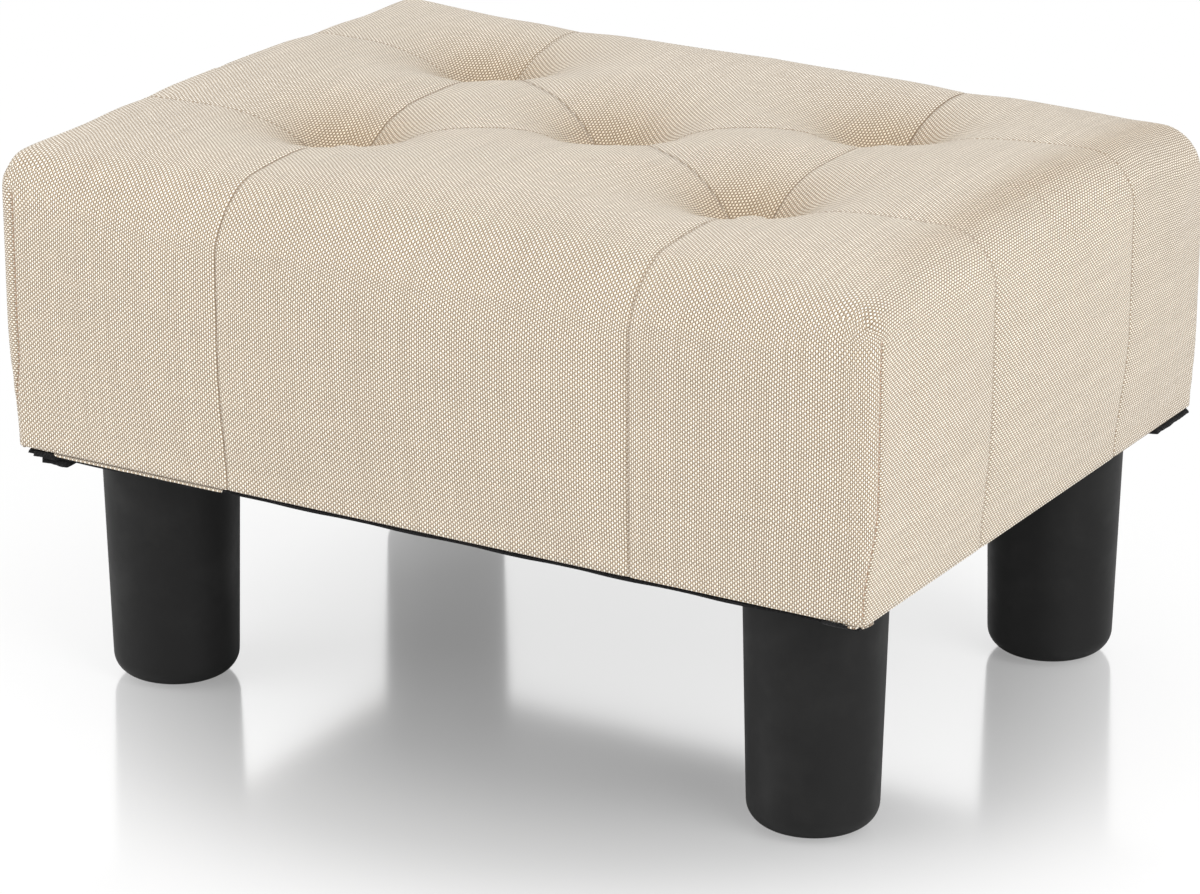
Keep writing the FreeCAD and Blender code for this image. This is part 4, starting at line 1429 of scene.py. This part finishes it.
# %% Holes for the bolts
centres = dust_points[cells].mean(axis=1)
keep = np.ones(len(cells), bool)
for sx, sy in CORNERS.values():
    keep &= np.hypot(centres[:, 0] - sx * LEG_X, centres[:, 1] - sy * LEG_Y) > HOLE + 2.0
for sx, sy in CORNERS.values():        # draw the ragged hole out to a clean circle
    delta = dust_points[:, :2] - (sx * LEG_X, sy * LEG_Y)
    far = np.hypot(delta[:, 0], delta[:, 1])
    rim = np.intersect1d(np.unique(cells[~keep]), np.unique(cells[keep]))
    rim = rim[far[rim] < 14]
    dust_points[rim, :2] = (sx * LEG_X, sy * LEG_Y) + delta[rim] / far[rim][:, None] * HOLE
used = np.unique(cells[keep])
renumber = np.zeros(len(dust_points), int)
renumber[used] = np.arange(len(used))
dust = add_piece("dust_cover_sheet", dust_points[used], renumber[cells[keep]], DUST_CLOTH,
                 replaces=["dust_cover"], thick=0.26)
dust.modifiers["thickness"].offset = 0

# %% [markdown]
# ### Loose ends
# At three corners the black cloth is bunched where it is folded, and a ragged end of it sticks out.
# The cover's own raw hem also peeps out: as a long pale strip at the front left, and as a short tip
# at the front right. Each is a small sheet: a cross-section swept along the edge, with a torn outer
# side and ends that thin out.

# %% How a loose end is made
FRONT, RIGHT = -HALF_Y + HEM_PULL, HALF_X - HEM_PULL      # the cover's edges at the hem


def loose_end(name, start, stop, section, tear, seed, material=DUST_CLOTH,
              thick=0.45):
    """A strip from start to stop in plan; section is a run of (outwards, height) from inside the
    body to the torn side, and tear is how far that side wanders."""
    rng = np.random.default_rng(seed)
    start, stop = np.array(start, float), np.array(stop, float)
    along = stop - start
    length = np.linalg.norm(along)
    outward = np.array([along[1], -along[0]]) / length
    count = max(10, int(length / 0.7))
    share = np.linspace(0, 1, count)
    torn = np.convolve(rng.uniform(-1, 1, count + 4), [0.25, 0.5, 0.25], "same")[2:-2]
    ends = np.clip(np.minimum(share, 1 - share) * length / 3.0, 0, 1) ** 0.6
    rows = []
    first = section[0]
    for k, part in enumerate(section):
        grow = k / (len(section) - 1)
        full = 1 - grow * (1 - ends)
        curl = 0.3 * tear * np.sin(share * length / 1.9 + 2 * k) * grow
        out = first[0] + (part[0] - first[0]) * full + tear * torn * grow
        up = first[1] + (part[1] - first[1]) * full + curl
        plan = start + np.outer(share, along) + np.outer(out, outward)
        rows.append(np.column_stack([plan, up]))
    points = np.concatenate(rows)
    bands = [(k * count + i, k * count + i + 1, (k + 1) * count + i + 1, (k + 1) * count + i)
             for k in range(len(section) - 1) for i in range(count - 1)]
    reach = sum(math.dist(p, q) for p, q in zip(section, section[1:]))
    row = reach / (len(section) - 1)
    uv = [(share[i % count] * length, (i // count) * row) for f in bands for i in f]
    piece = add_piece(name, points, bands, material, uv=uv, thick=thick)
    print(name, round(length, 1), "mm long")


# %% Loose ends of cloth
loose_end("loose_end_front_left_upper", (-198, FRONT), (-181, FRONT),
          [(-9, 106.6), (-5, 106.5), (-2, 106.4), (-0.3, 106.3), (0.5, 105.8), (0.9, 104.9)],
          tear=0.5, seed=3)
loose_end("loose_end_front_left_lower", (-194.5, FRONT), (-176, FRONT),
          [(-9, 105.9), (-6, 105.4), (-4, 104.9), (-2.2, 104.3), (-0.9, 103.3), (-0.4, 102.2)],
          tear=0.5, seed=8)
loose_end("loose_end_front_right", (179, FRONT), (196, FRONT),
          [(-9, 106.5), (-5, 106.3), (-1.5, 106.0), (0.2, 105.9), (0.75, 106.6), (0.8, 107.6)],
          tear=0.3, seed=5)
loose_end("loose_end_back_right", (RIGHT, 112), (RIGHT, 150),
          [(-9, 106.5), (-5, 106.2), (-2, 105.9), (-0.6, 105.7), (-0.2, 105.4), (0.1, 104.9)],
          tear=0.25, seed=9)
loose_end("raw_hem_front_left", (-188, FRONT), (-97, FRONT),
          [(-9.5, 106.95), (-6, 106.8), (-3, 106.55), (-1.2, 106.45), (-0.5, 106.35), (0.1, 106.25)],
          tear=0.12, seed=12, material=COVER_CLOTH, thick=0.75)
loose_end("raw_hem_front_right", (188.5, FRONT), (199.3, FRONT),
          [(-9.5, 106.9), (-6, 106.8), (-3, 106.7), (-1.2, 106.7), (-0.3, 106.65), (0.3, 106.55)],
          tear=0.15, seed=21, material=COVER_CLOTH, thick=0.75)

# %% [markdown]
# ## Legs
# Each leg is a hollow moulded cup of black plastic, a little wider at the top, with a rounded foot.
# A cap closes its top and holds a hexagon bolt that screws into the corner block. The shell is
# turned from one closed outline, so its wall, rim and inside are real.

# %% Outline of a leg
FOOT_R, FOOT_LOW, FOOT_ROUND = 26.86, 1.5, 9.0
LEG_TOP_R, LEG_TOP = 29.46, 107.0
WALL = 2.6


def leg_radius(z):
    """Outer radius of a leg: it tapers evenly from its top to its foot."""
    return FOOT_R + (LEG_TOP_R - FOOT_R) * (z - FOOT_LOW) / (LEG_TOP - FOOT_LOW)


def leg_profile():
    """Closed outline of the moulded shell, from the pad's seat round the foot and over the top."""
    line = [(16.55, 3.0), (16.55, 1.75), (16.8, FOOT_LOW), (17.3, FOOT_LOW)]
    for i in range(13):
        a = math.pi / 2 * i / 12
        line.append((FOOT_R - FOOT_ROUND * (1 - math.sin(a)) + 0.2 * i / 12,
                     FOOT_LOW + FOOT_ROUND * (1 - math.cos(a))))
    line += [(leg_radius(z), z) for z in np.linspace(14, 105.9, 24)]
    # the rim, and the ledge inside it that the cap sits on
    line += [(LEG_TOP_R - 0.12, 106.6), (LEG_TOP_R - 0.45, LEG_TOP), (LEG_TOP_R - 2.7, LEG_TOP),
             (26.4, 106.7), (26.38, 97.0)]
    line += [(leg_radius(96) - 4.7, 97.0), (leg_radius(90) - 4.4, 94.0)]
    line += [(leg_radius(z) - WALL, z) for z in np.linspace(88, 18, 10)]
    # the floor of the foot, and the boss in the middle with its bore
    line += [(22.0, 8.5), (18.0, 5.6), (9.0, 5.5), (8.4, 6.2), (8.4, 96.8), (4.7, 96.8), (4.7, 14.0),
             (4.2, 13.5), (0.05, 13.5), (0.05, 3.0)]
    return line


print("leg outline", len(leg_profile()), "points")


# %% Black plastic
def black_plastic():
    material, tree, shader = new_material("black_moulded_plastic", 0.55, Specular_IOR_Level=0.2)
    place = object_place(tree)
    grain = place_group(tree, PEBBLE, Place=place, Scale=2400.0)
    tone = place_group(tree, CLOUDS, Place=place, Scale=16.0, Amount=0.25)["Tone"]
    base = mix_colour(tree, maths(tree, "MULTIPLY", grain["Rub"], 0.35), (0.006, 0.006, 0.006, 1),
                      (0.014, 0.014, 0.0135, 1))
    wire(tree, vector_maths(tree, "SCALE", base, tone), shader["Base Color"])
    wire(tree, ramp(tree, grain["Rub"], 0, 1, 0.58, 0.48), shader["Roughness"])
    bump(tree, grain["Height"], 0.25, 0.00006, shader["Normal"])
    return material


BLACK_PLASTIC = black_plastic()
print("plastic", BLACK_PLASTIC.name)


# %% Ribs inside a leg
RIB_HALF = 1.1                         # half a rib's thickness


def ribs(centre):
    """Four upright ribs between the boss and the wall of a leg."""
    points, faces = [], []
    for k in range(4):
        a = math.pi / 2 * k
        c, s = math.cos(a), math.sin(a)
        base = len(points)
        for z, inner, outer in ((8.6, 8.0, 21.0), (96.9, 8.0, leg_radius(96) - 3.4)):
            for r, w in ((inner, -RIB_HALF), (outer, -RIB_HALF), (outer, RIB_HALF), (inner, RIB_HALF)):
                points.append((centre[0] + r * c - w * s, centre[1] + r * s + w * c, z))
        faces += tube_faces(2, 4, base) + tube_ends(2, 4, base)
    return points, faces


# %% Leg shells
ROUND = 96                             # points round a leg
for name, (sx, sy) in CORNERS.items():
    centre = (sx * LEG_X, sy * LEG_Y)
    points, faces = turn(leg_profile(), centre, ROUND, close=False)
    last = len(points) - ROUND         # the outline is closed, so its last ring meets the first
    faces += [(last + k, last + (k + 1) % ROUND, (k + 1) % ROUND, k) for k in range(ROUND)]
    rib_points, rib_faces = ribs(centre)
    faces += [tuple(i + len(points) for i in f) for f in rib_faces]
    shell = add_piece("moulded_leg_" + name, points + rib_points, faces, BLACK_PLASTIC,
                      body="leg_" + name, replaces=["leg_shell_" + name])
    shell.data.set_sharp_from_angle(angle=math.radians(38))
    print(shell.name, len(faces), "faces")

# %% [markdown]
# ## Leg bolts
# An M8 bolt: hexagon head with its corners bevelled, and a rolled thread. The thread is a tube of
# fine rings whose radius follows a ridge that climbs 1.25 mm each turn. It never goes outside the
# plain shank of the CAD, so nothing that fits there stops fitting here.

# %% Plated metal
def plated_group():
    tree, given, gives = make_group(
        "plated_metal", [("Place", "Vector", (0, 0, 0)), ("Colour", "Color", (0.6, 0.6, 0.62, 1)),
                         ("Tarnish", "Color", (0.4, 0.38, 0.35, 1)), ("Scale", "Float", 300.0)],
        [("Colour", "Color"), ("Roughness", "Float"), ("Height", "Float")])
    spangle = node(tree, "ShaderNodeTexVoronoi")
    wire(tree, given["Place"], spangle.inputs["Vector"])
    wire(tree, given["Scale"], spangle.inputs["Scale"])
    stain = noise(tree, given["Place"], maths(tree, "MULTIPLY", given["Scale"], 0.4), 5.0, 0.65)
    dull = ramp(tree, stain.outputs[0], 0.45, 0.7)
    wire(tree, mix_colour(tree, dull, given["Colour"], given["Tarnish"]), gives["Colour"])
    shade = node(tree, "ShaderNodeSeparateColor")
    wire(tree, spangle.outputs["Color"], shade.inputs[0])
    rough = maths(tree, "ADD", maths(tree, "MULTIPLY", shade.outputs[0], 0.14),
                  maths(tree, "MULTIPLY", dull, 0.2))
    wire(tree, maths(tree, "ADD", rough, 0.22), gives["Roughness"])
    uneven = maths(tree, "MULTIPLY", shade.outputs[1], 0.3)
    wire(tree, maths(tree, "ADD", uneven, stain.outputs[0]), gives["Height"])
    return tree


PLATED = plated_group()


def metal(name, colour, tarnish, scale=300.0):
    material, tree, shader = new_material(name, 0.35, 1.0)
    made = place_group(tree, PLATED, Place=object_place(tree), Colour=colour, Tarnish=tarnish,
                       Scale=scale)
    wire(tree, made["Colour"], shader["Base Color"])
    wire(tree, made["Roughness"], shader["Roughness"])
    bump(tree, made["Height"], 0.2, 0.00005, shader["Normal"])
    return material


ZINC = metal("zinc_plate", (0.62, 0.63, 0.66, 1), (0.42, 0.42, 0.42, 1))
YELLOW_ZINC = metal("yellow_zinc_plate", (0.74, 0.60, 0.30, 1), (0.50, 0.40, 0.26, 1), 500.0)
STAPLE_WIRE = metal("galvanised_wire", (0.60, 0.60, 0.60, 1), (0.36, 0.35, 0.33, 1), 700.0)
print("metals", ZINC.name, YELLOW_ZINC.name, STAPLE_WIRE.name)

# %% Bolt shape
HEAD_LOW, HEAD_TOP, SHANK_TOP, PITCH = 97.0, 102.3, 132.3, 1.25
HEAD_FLAT, SHANK_R, THREAD_DEEP = 6.5, 3.93, 0.68


def bolt_shape(centre, segments=24):
    """Points and faces of one bolt, from the underside of its head to the tip."""
    rings = []
    for z, share in ((HEAD_LOW, 0.93), (HEAD_LOW + 0.35, 1.0), (HEAD_TOP - 0.1, 1.0), (HEAD_TOP, 0.97)):
        ring = []
        for k in range(segments):
            a = 2 * math.pi * k / segments
            wedge = (a + math.pi / 6) % (math.pi / 3) - math.pi / 6
            r = min(HEAD_FLAT / math.cos(wedge), (HEAD_FLAT + 0.95) * share)
            ring.append((r * math.cos(a), r * math.sin(a), z))
        rings.append(ring)
    for z in np.arange(HEAD_TOP + 0.01, SHANK_TOP - 0.02, PITCH / 8):
        ring = []
        for k in range(segments):
            a = 2 * math.pi * k / segments
            turns = (z - HEAD_TOP) / PITCH - a / (2 * math.pi)
            tooth = abs(turns % 1.0 - 0.5) * 2
            cut_in = float(smooth(z, HEAD_TOP + 1.5, HEAD_TOP + 3.0))
            depth = THREAD_DEEP * (1 - min(1, tooth * 1.25)) * cut_in
            chamfer = max(0.0, z - (SHANK_TOP - 1.0)) * 0.9
            r = SHANK_R - max(depth, chamfer)
            ring.append((r * math.cos(a), r * math.sin(a), z))
        rings.append(ring)
    points = [(centre[0] + x, centre[1] + y, z) for ring in rings for x, y, z in ring]
    return points, tube_faces(len(rings), segments) + tube_ends(len(rings), segments)


for name, (sx, sy) in CORNERS.items():
    points, bands = bolt_shape((sx * LEG_X, sy * LEG_Y))
    bolt = add_piece("threaded_bolt_" + name, points, bands, ZINC, body="leg_" + name,
                     replaces=["leg_bolt_" + name])
    bolt.data.set_sharp_from_angle(angle=math.radians(30))
    print(bolt.name, len(bands), "faces")

# %% [markdown]
# ## Foot pads
# A disc of pressed black felt is glued under each foot, sunk into it by half its height. Its edge
# is a little fuzzy, so the turned disc gets a fine wave at its rim.

# %% Felt pads
FELT_PROFILE = [(0.05, 0.02), (8, 0.0), (15.2, 0.0), (16.0, 0.12), (16.4, 0.5), (16.45, 1.2),
                (16.4, 2.9), (0.05, 2.95)]


def felt_fuzz(radius, height, angle, share):
    fuzz = 0.05 * math.sin(23 * angle) + 0.04 * math.sin(41 * angle + 1)
    return radius + fuzz * (0.2 < share < 0.8), height


def felt_material():
    material, tree, shader = new_material("pressed_felt", 0.95, Sheen_Weight=0.5)
    fibres = place_group(tree, FIBRES, Place=object_place(tree), Scale=2200.0,
                         Colour=(0.014, 0.014, 0.014, 1), Fibre_colour=(0.07, 0.07, 0.072, 1))
    wire(tree, fibres["Colour"], shader["Base Color"])
    bump(tree, fibres["Height"], 0.8, 0.0004, shader["Normal"])
    return material


FELT = felt_material()
for name, (sx, sy) in CORNERS.items():
    points, bands = turn(FELT_PROFILE, (sx * LEG_X, sy * LEG_Y), 72, felt_fuzz)
    pad = add_piece("felt_pad_" + name, points, bands, FELT, body="leg_" + name,
                    replaces=["foot_pad_" + name])
    pad.data.set_sharp_from_angle(angle=math.radians(50))
print("pads", len(CORNERS))

# %% [markdown]
# ## Tufting twine
# Under each button a waxed twine runs through the eye and down through foam and board to a washer,
# and is knotted there. It is two yarns laid round each other: two thin tubes winding round the
# twine's own path.

# %% Twine
def laid_twine(path, radius=0.24, away=0.21, turn_length=3.2, sides=6):
    """Two yarns wound round a path of points."""
    path = np.array(path, float)
    length = np.concatenate([[0], np.cumsum(np.linalg.norm(np.diff(path, axis=0), axis=1))])
    at = np.linspace(0, length[-1], max(6, int(length[-1] / 0.45)))
    centre = np.column_stack([np.interp(at, length, path[:, i]) for i in range(3)])
    along = np.gradient(centre, axis=0)
    along /= np.linalg.norm(along, axis=1, keepdims=True)
    side = np.cross(along, (1.0, 0, 0))
    side /= np.linalg.norm(side, axis=1, keepdims=True)
    other = np.cross(along, side)
    points, bands = [], []
    for ply in (0, math.pi):
        spin = 2 * math.pi * at / turn_length + ply
        middle = centre + away * (np.cos(spin)[:, None] * side + np.sin(spin)[:, None] * other)
        base = len(points)
        for m, s, o in zip(middle, side, other):
            points += [m + radius * (math.cos(a) * s + math.sin(a) * o)
                       for a in (2 * math.pi * k / sides for k in range(sides))]
        bands += tube_faces(len(at), sides, base) + tube_ends(len(at), sides, base)
    return points, bands


TWINE_LOW, TWINE_HIGH, TWINE_APART = 176.0, 223.07, 1.5     # knot, eye, and half the loop's width
KNOT_HEIGHT, KNOT_R = 174.9, 1.7


def twine_path(x, y):
    """The loop through the button's eye, and the knot below the washer."""
    up = [(x, y - TWINE_APART, z) for z in np.linspace(TWINE_LOW, TWINE_HIGH, 30)]
    over = [(x, y - TWINE_APART * math.cos(a), TWINE_HIGH + TWINE_APART * math.sin(a))
            for a in np.linspace(0.2, math.pi - 0.2, 9)]
    down = [(x, y + TWINE_APART, z) for z in np.linspace(TWINE_HIGH, TWINE_LOW, 30)]
    knot = [(x + KNOT_R * math.sin(2 * t) * (1 + 0.3 * math.cos(3 * t)),
             y + KNOT_R * math.cos(2 * t + 0.3), KNOT_HEIGHT + math.sin(3 * t))
            for t in np.linspace(0, 2 * math.pi, 60)]
    return up + over + down, knot


twine_points, twine_faces = [], []
for sx, sy in TUFTS.values():
    for path in twine_path(sx * TUFT_X, sy * TUFT_Y):
        points, bands = laid_twine(path)
        twine_faces += [tuple(i + len(twine_points) for i in f) for f in bands]
        twine_points += points
material, tree, shader = new_material("waxed_twine", 0.6, Sheen_Weight=0.2)
strands = place_group(tree, FIBRES, Place=object_place(tree), Scale=2500.0,
                      Colour=(0.62, 0.56, 0.44, 1), Fibre_colour=(0.86, 0.82, 0.72, 1))
wire(tree, strands["Colour"], shader["Base Color"])
bump(tree, strands["Height"], 0.4, 0.0001, shader["Normal"])
add_piece("laid_tufting_twines", twine_points, twine_faces, material,
          replaces=["tufting_twines"])
print("twine", len(twine_faces), "faces")

# %% [markdown]
# ## Wood of the frame
# The rails and blocks are sawn pine: pale early wood and darker late wood in long wavering lines.
# The board on top is plywood, whose thin layers show at its edges with their grain crossing. The
# yearly rings are circles round a pith that lies outside the piece. One group makes the grain;
# each material turns it to its piece's direction.

# %% Grain group
def grain_group():
    tree, given, gives = make_group(
        "sawn_grain",
        [("Place", "Vector", (0, 0, 0)), ("Early wood", "Color", (0.8, 0.62, 0.4, 1)),
         ("Late wood", "Color", (0.55, 0.36, 0.18, 1)), ("Rings per metre", "Float", 260.0)],
        [("Colour", "Color"), ("Height", "Float")])
    long_way = vector_maths(tree, "MULTIPLY", given["Place"], (0.12, 1.0, 1.0))
    sway = noise(tree, long_way, 14.0, 3.0)
    axes = node(tree, "ShaderNodeSeparateXYZ")
    wire(tree, long_way, axes.inputs[0])
    squares = [maths(tree, "POWER", maths(tree, "ADD", axes.outputs[i], off), 2.0)
               for i, off in ((1, 0.05), (2, 0.11))]
    from_pith = maths(tree, "SQRT", maths(tree, "ADD", *squares))
    rings = maths(tree, "MULTIPLY", from_pith, given["Rings per metre"])
    wavering = maths(tree, "ADD", rings, maths(tree, "MULTIPLY", sway.outputs[0], 5.0))
    late = maths(tree, "POWER", maths(tree, "FRACT", wavering), 3.0)
    fine_way = vector_maths(tree, "MULTIPLY", given["Place"], (0.04, 1.0, 1.0))
    pores = noise(tree, fine_way, 1800.0, 2.0, 0.6).outputs[0]
    streaks = maths(tree, "MULTIPLY", maths(tree, "SUBTRACT", pores, 0.5), 0.5)
    tone = ramp(tree, maths(tree, "ADD", late, streaks), 0.0, 1.0)
    wire(tree, mix_colour(tree, tone, given["Early wood"], given["Late wood"]), gives["Colour"])
    wire(tree, maths(tree, "ADD", maths(tree, "MULTIPLY", pores, 0.7),
                     maths(tree, "MULTIPLY", late, 0.3)), gives["Height"])
    return tree


GRAIN = grain_group()
print("grain:", len(GRAIN.nodes), "nodes")

# %% Pine and plywood
BOARD_LOW, BOARD_THICK, VENEERS = 0.1798, 0.012, 7    # metres, as the node's coordinates are


def turned_place(tree, order):
    """Object coordinates with the axis named first put along the grain; also the height."""
    split = node(tree, "ShaderNodeSeparateXYZ")
    wire(tree, object_place(tree), split.inputs[0])
    joined = node(tree, "ShaderNodeCombineXYZ")
    for i, axis in enumerate(order):
        wire(tree, split.outputs["xyz".index(axis)], joined.inputs[i])
    return joined.outputs[0], split.outputs[2]


def pine(name, order):
    material, tree, shader = new_material(name, 0.72, Specular_IOR_Level=0.3)
    place, _ = turned_place(tree, order)
    grain = place_group(tree, GRAIN, Place=place, Early_wood=(0.79, 0.63, 0.42, 1),
                        Late_wood=(0.56, 0.36, 0.18, 1))
    wire(tree, grain["Colour"], shader["Base Color"])
    bump(tree, grain["Height"], 0.4, 0.0002, shader["Normal"])
    return material


def plywood():
    material, tree, shader = new_material("birch_plywood", 0.6, Specular_IOR_Level=0.3)
    along, height = turned_place(tree, "xyz")
    across, _ = turned_place(tree, "yxz")
    above = maths(tree, "SUBTRACT", height, BOARD_LOW)
    layer = maths(tree, "FLOOR", maths(tree, "MULTIPLY", above, VENEERS / BOARD_THICK))
    odd = maths(tree, "MODULO", layer, 2.0)
    flat = place_group(tree, GRAIN, Place=along, Early_wood=(0.80, 0.66, 0.46, 1),
                       Late_wood=(0.66, 0.50, 0.31, 1), Rings_per_metre=120.0)
    end = place_group(tree, GRAIN, Place=across, Early_wood=(0.62, 0.46, 0.29, 1),
                      Late_wood=(0.47, 0.32, 0.18, 1), Rings_per_metre=120.0)
    wire(tree, mix_colour(tree, odd, flat["Colour"], end["Colour"]), shader["Base Color"])
    bump(tree, flat["Height"], 0.3, 0.00015, shader["Normal"])
    return material


# %% [markdown]
# ## Pieces that keep their CAD shape
# Wood, screws, staples, nuts, washers and caps look right as the CAD has them, so they only get
# their finish.

# %% Helpers for the CAD pieces
def finish_nodes(names, material):
    """Give one material to every slot of the named CAD pieces."""
    for name in names:
        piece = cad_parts[name]
        for place in piece.material_slots:
            place.material = material
        if not piece.material_slots:
            piece.data.materials.append(material)


def is_plain(piece):
    """True for a piece that shows and has no detailed material."""
    return not piece.hide_render and not any(m and m.use_nodes and len(m.node_tree.nodes) > 4
                                             for m in piece.data.materials)


# %% Finish the CAD pieces
washer, tree, shader = new_material("moulded_washer", 0.5)
moulded = place_group(tree, PEBBLE, Place=object_place(tree), Scale=1800.0)
pale = mix_colour(tree, moulded["Rub"], (0.78, 0.77, 0.73, 1), (0.86, 0.85, 0.82, 1))
wire(tree, pale, shader["Base Color"])
bump(tree, moulded["Height"], 0.25, 0.00008, shader["Normal"])
finish_nodes(["frame_rail_front", "frame_rail_back"], pine("pine_long_rails", "xyz"))
finish_nodes(["frame_rail_left", "frame_rail_right"], pine("pine_short_rails", "yxz"))
finish_nodes(["corner_block_" + n for n in CORNERS], pine("pine_blocks", "xzy"))
finish_nodes(["top_board"], plywood())
finish_nodes(["tee_nuts", "button_backs"], ZINC)
finish_nodes(["frame_screws", "top_board_screws"], YELLOW_ZINC)
finish_nodes(["hem_staples", "dust_cover_staples"], STAPLE_WIRE)
finish_nodes(["twine_anchors"], washer)
finish_nodes(["leg_cap_" + n for n in CORNERS], BLACK_PLASTIC)
print("CAD pieces still plain:", sorted(n for n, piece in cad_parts.items() if is_plain(piece)))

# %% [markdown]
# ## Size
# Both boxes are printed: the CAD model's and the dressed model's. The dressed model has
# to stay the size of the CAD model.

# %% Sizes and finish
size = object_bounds()
for label, box in (("CAD box", cad_box), ("dressed box", size)):
    print(label, [[round(v, 4) for v in corner] for corner in box])
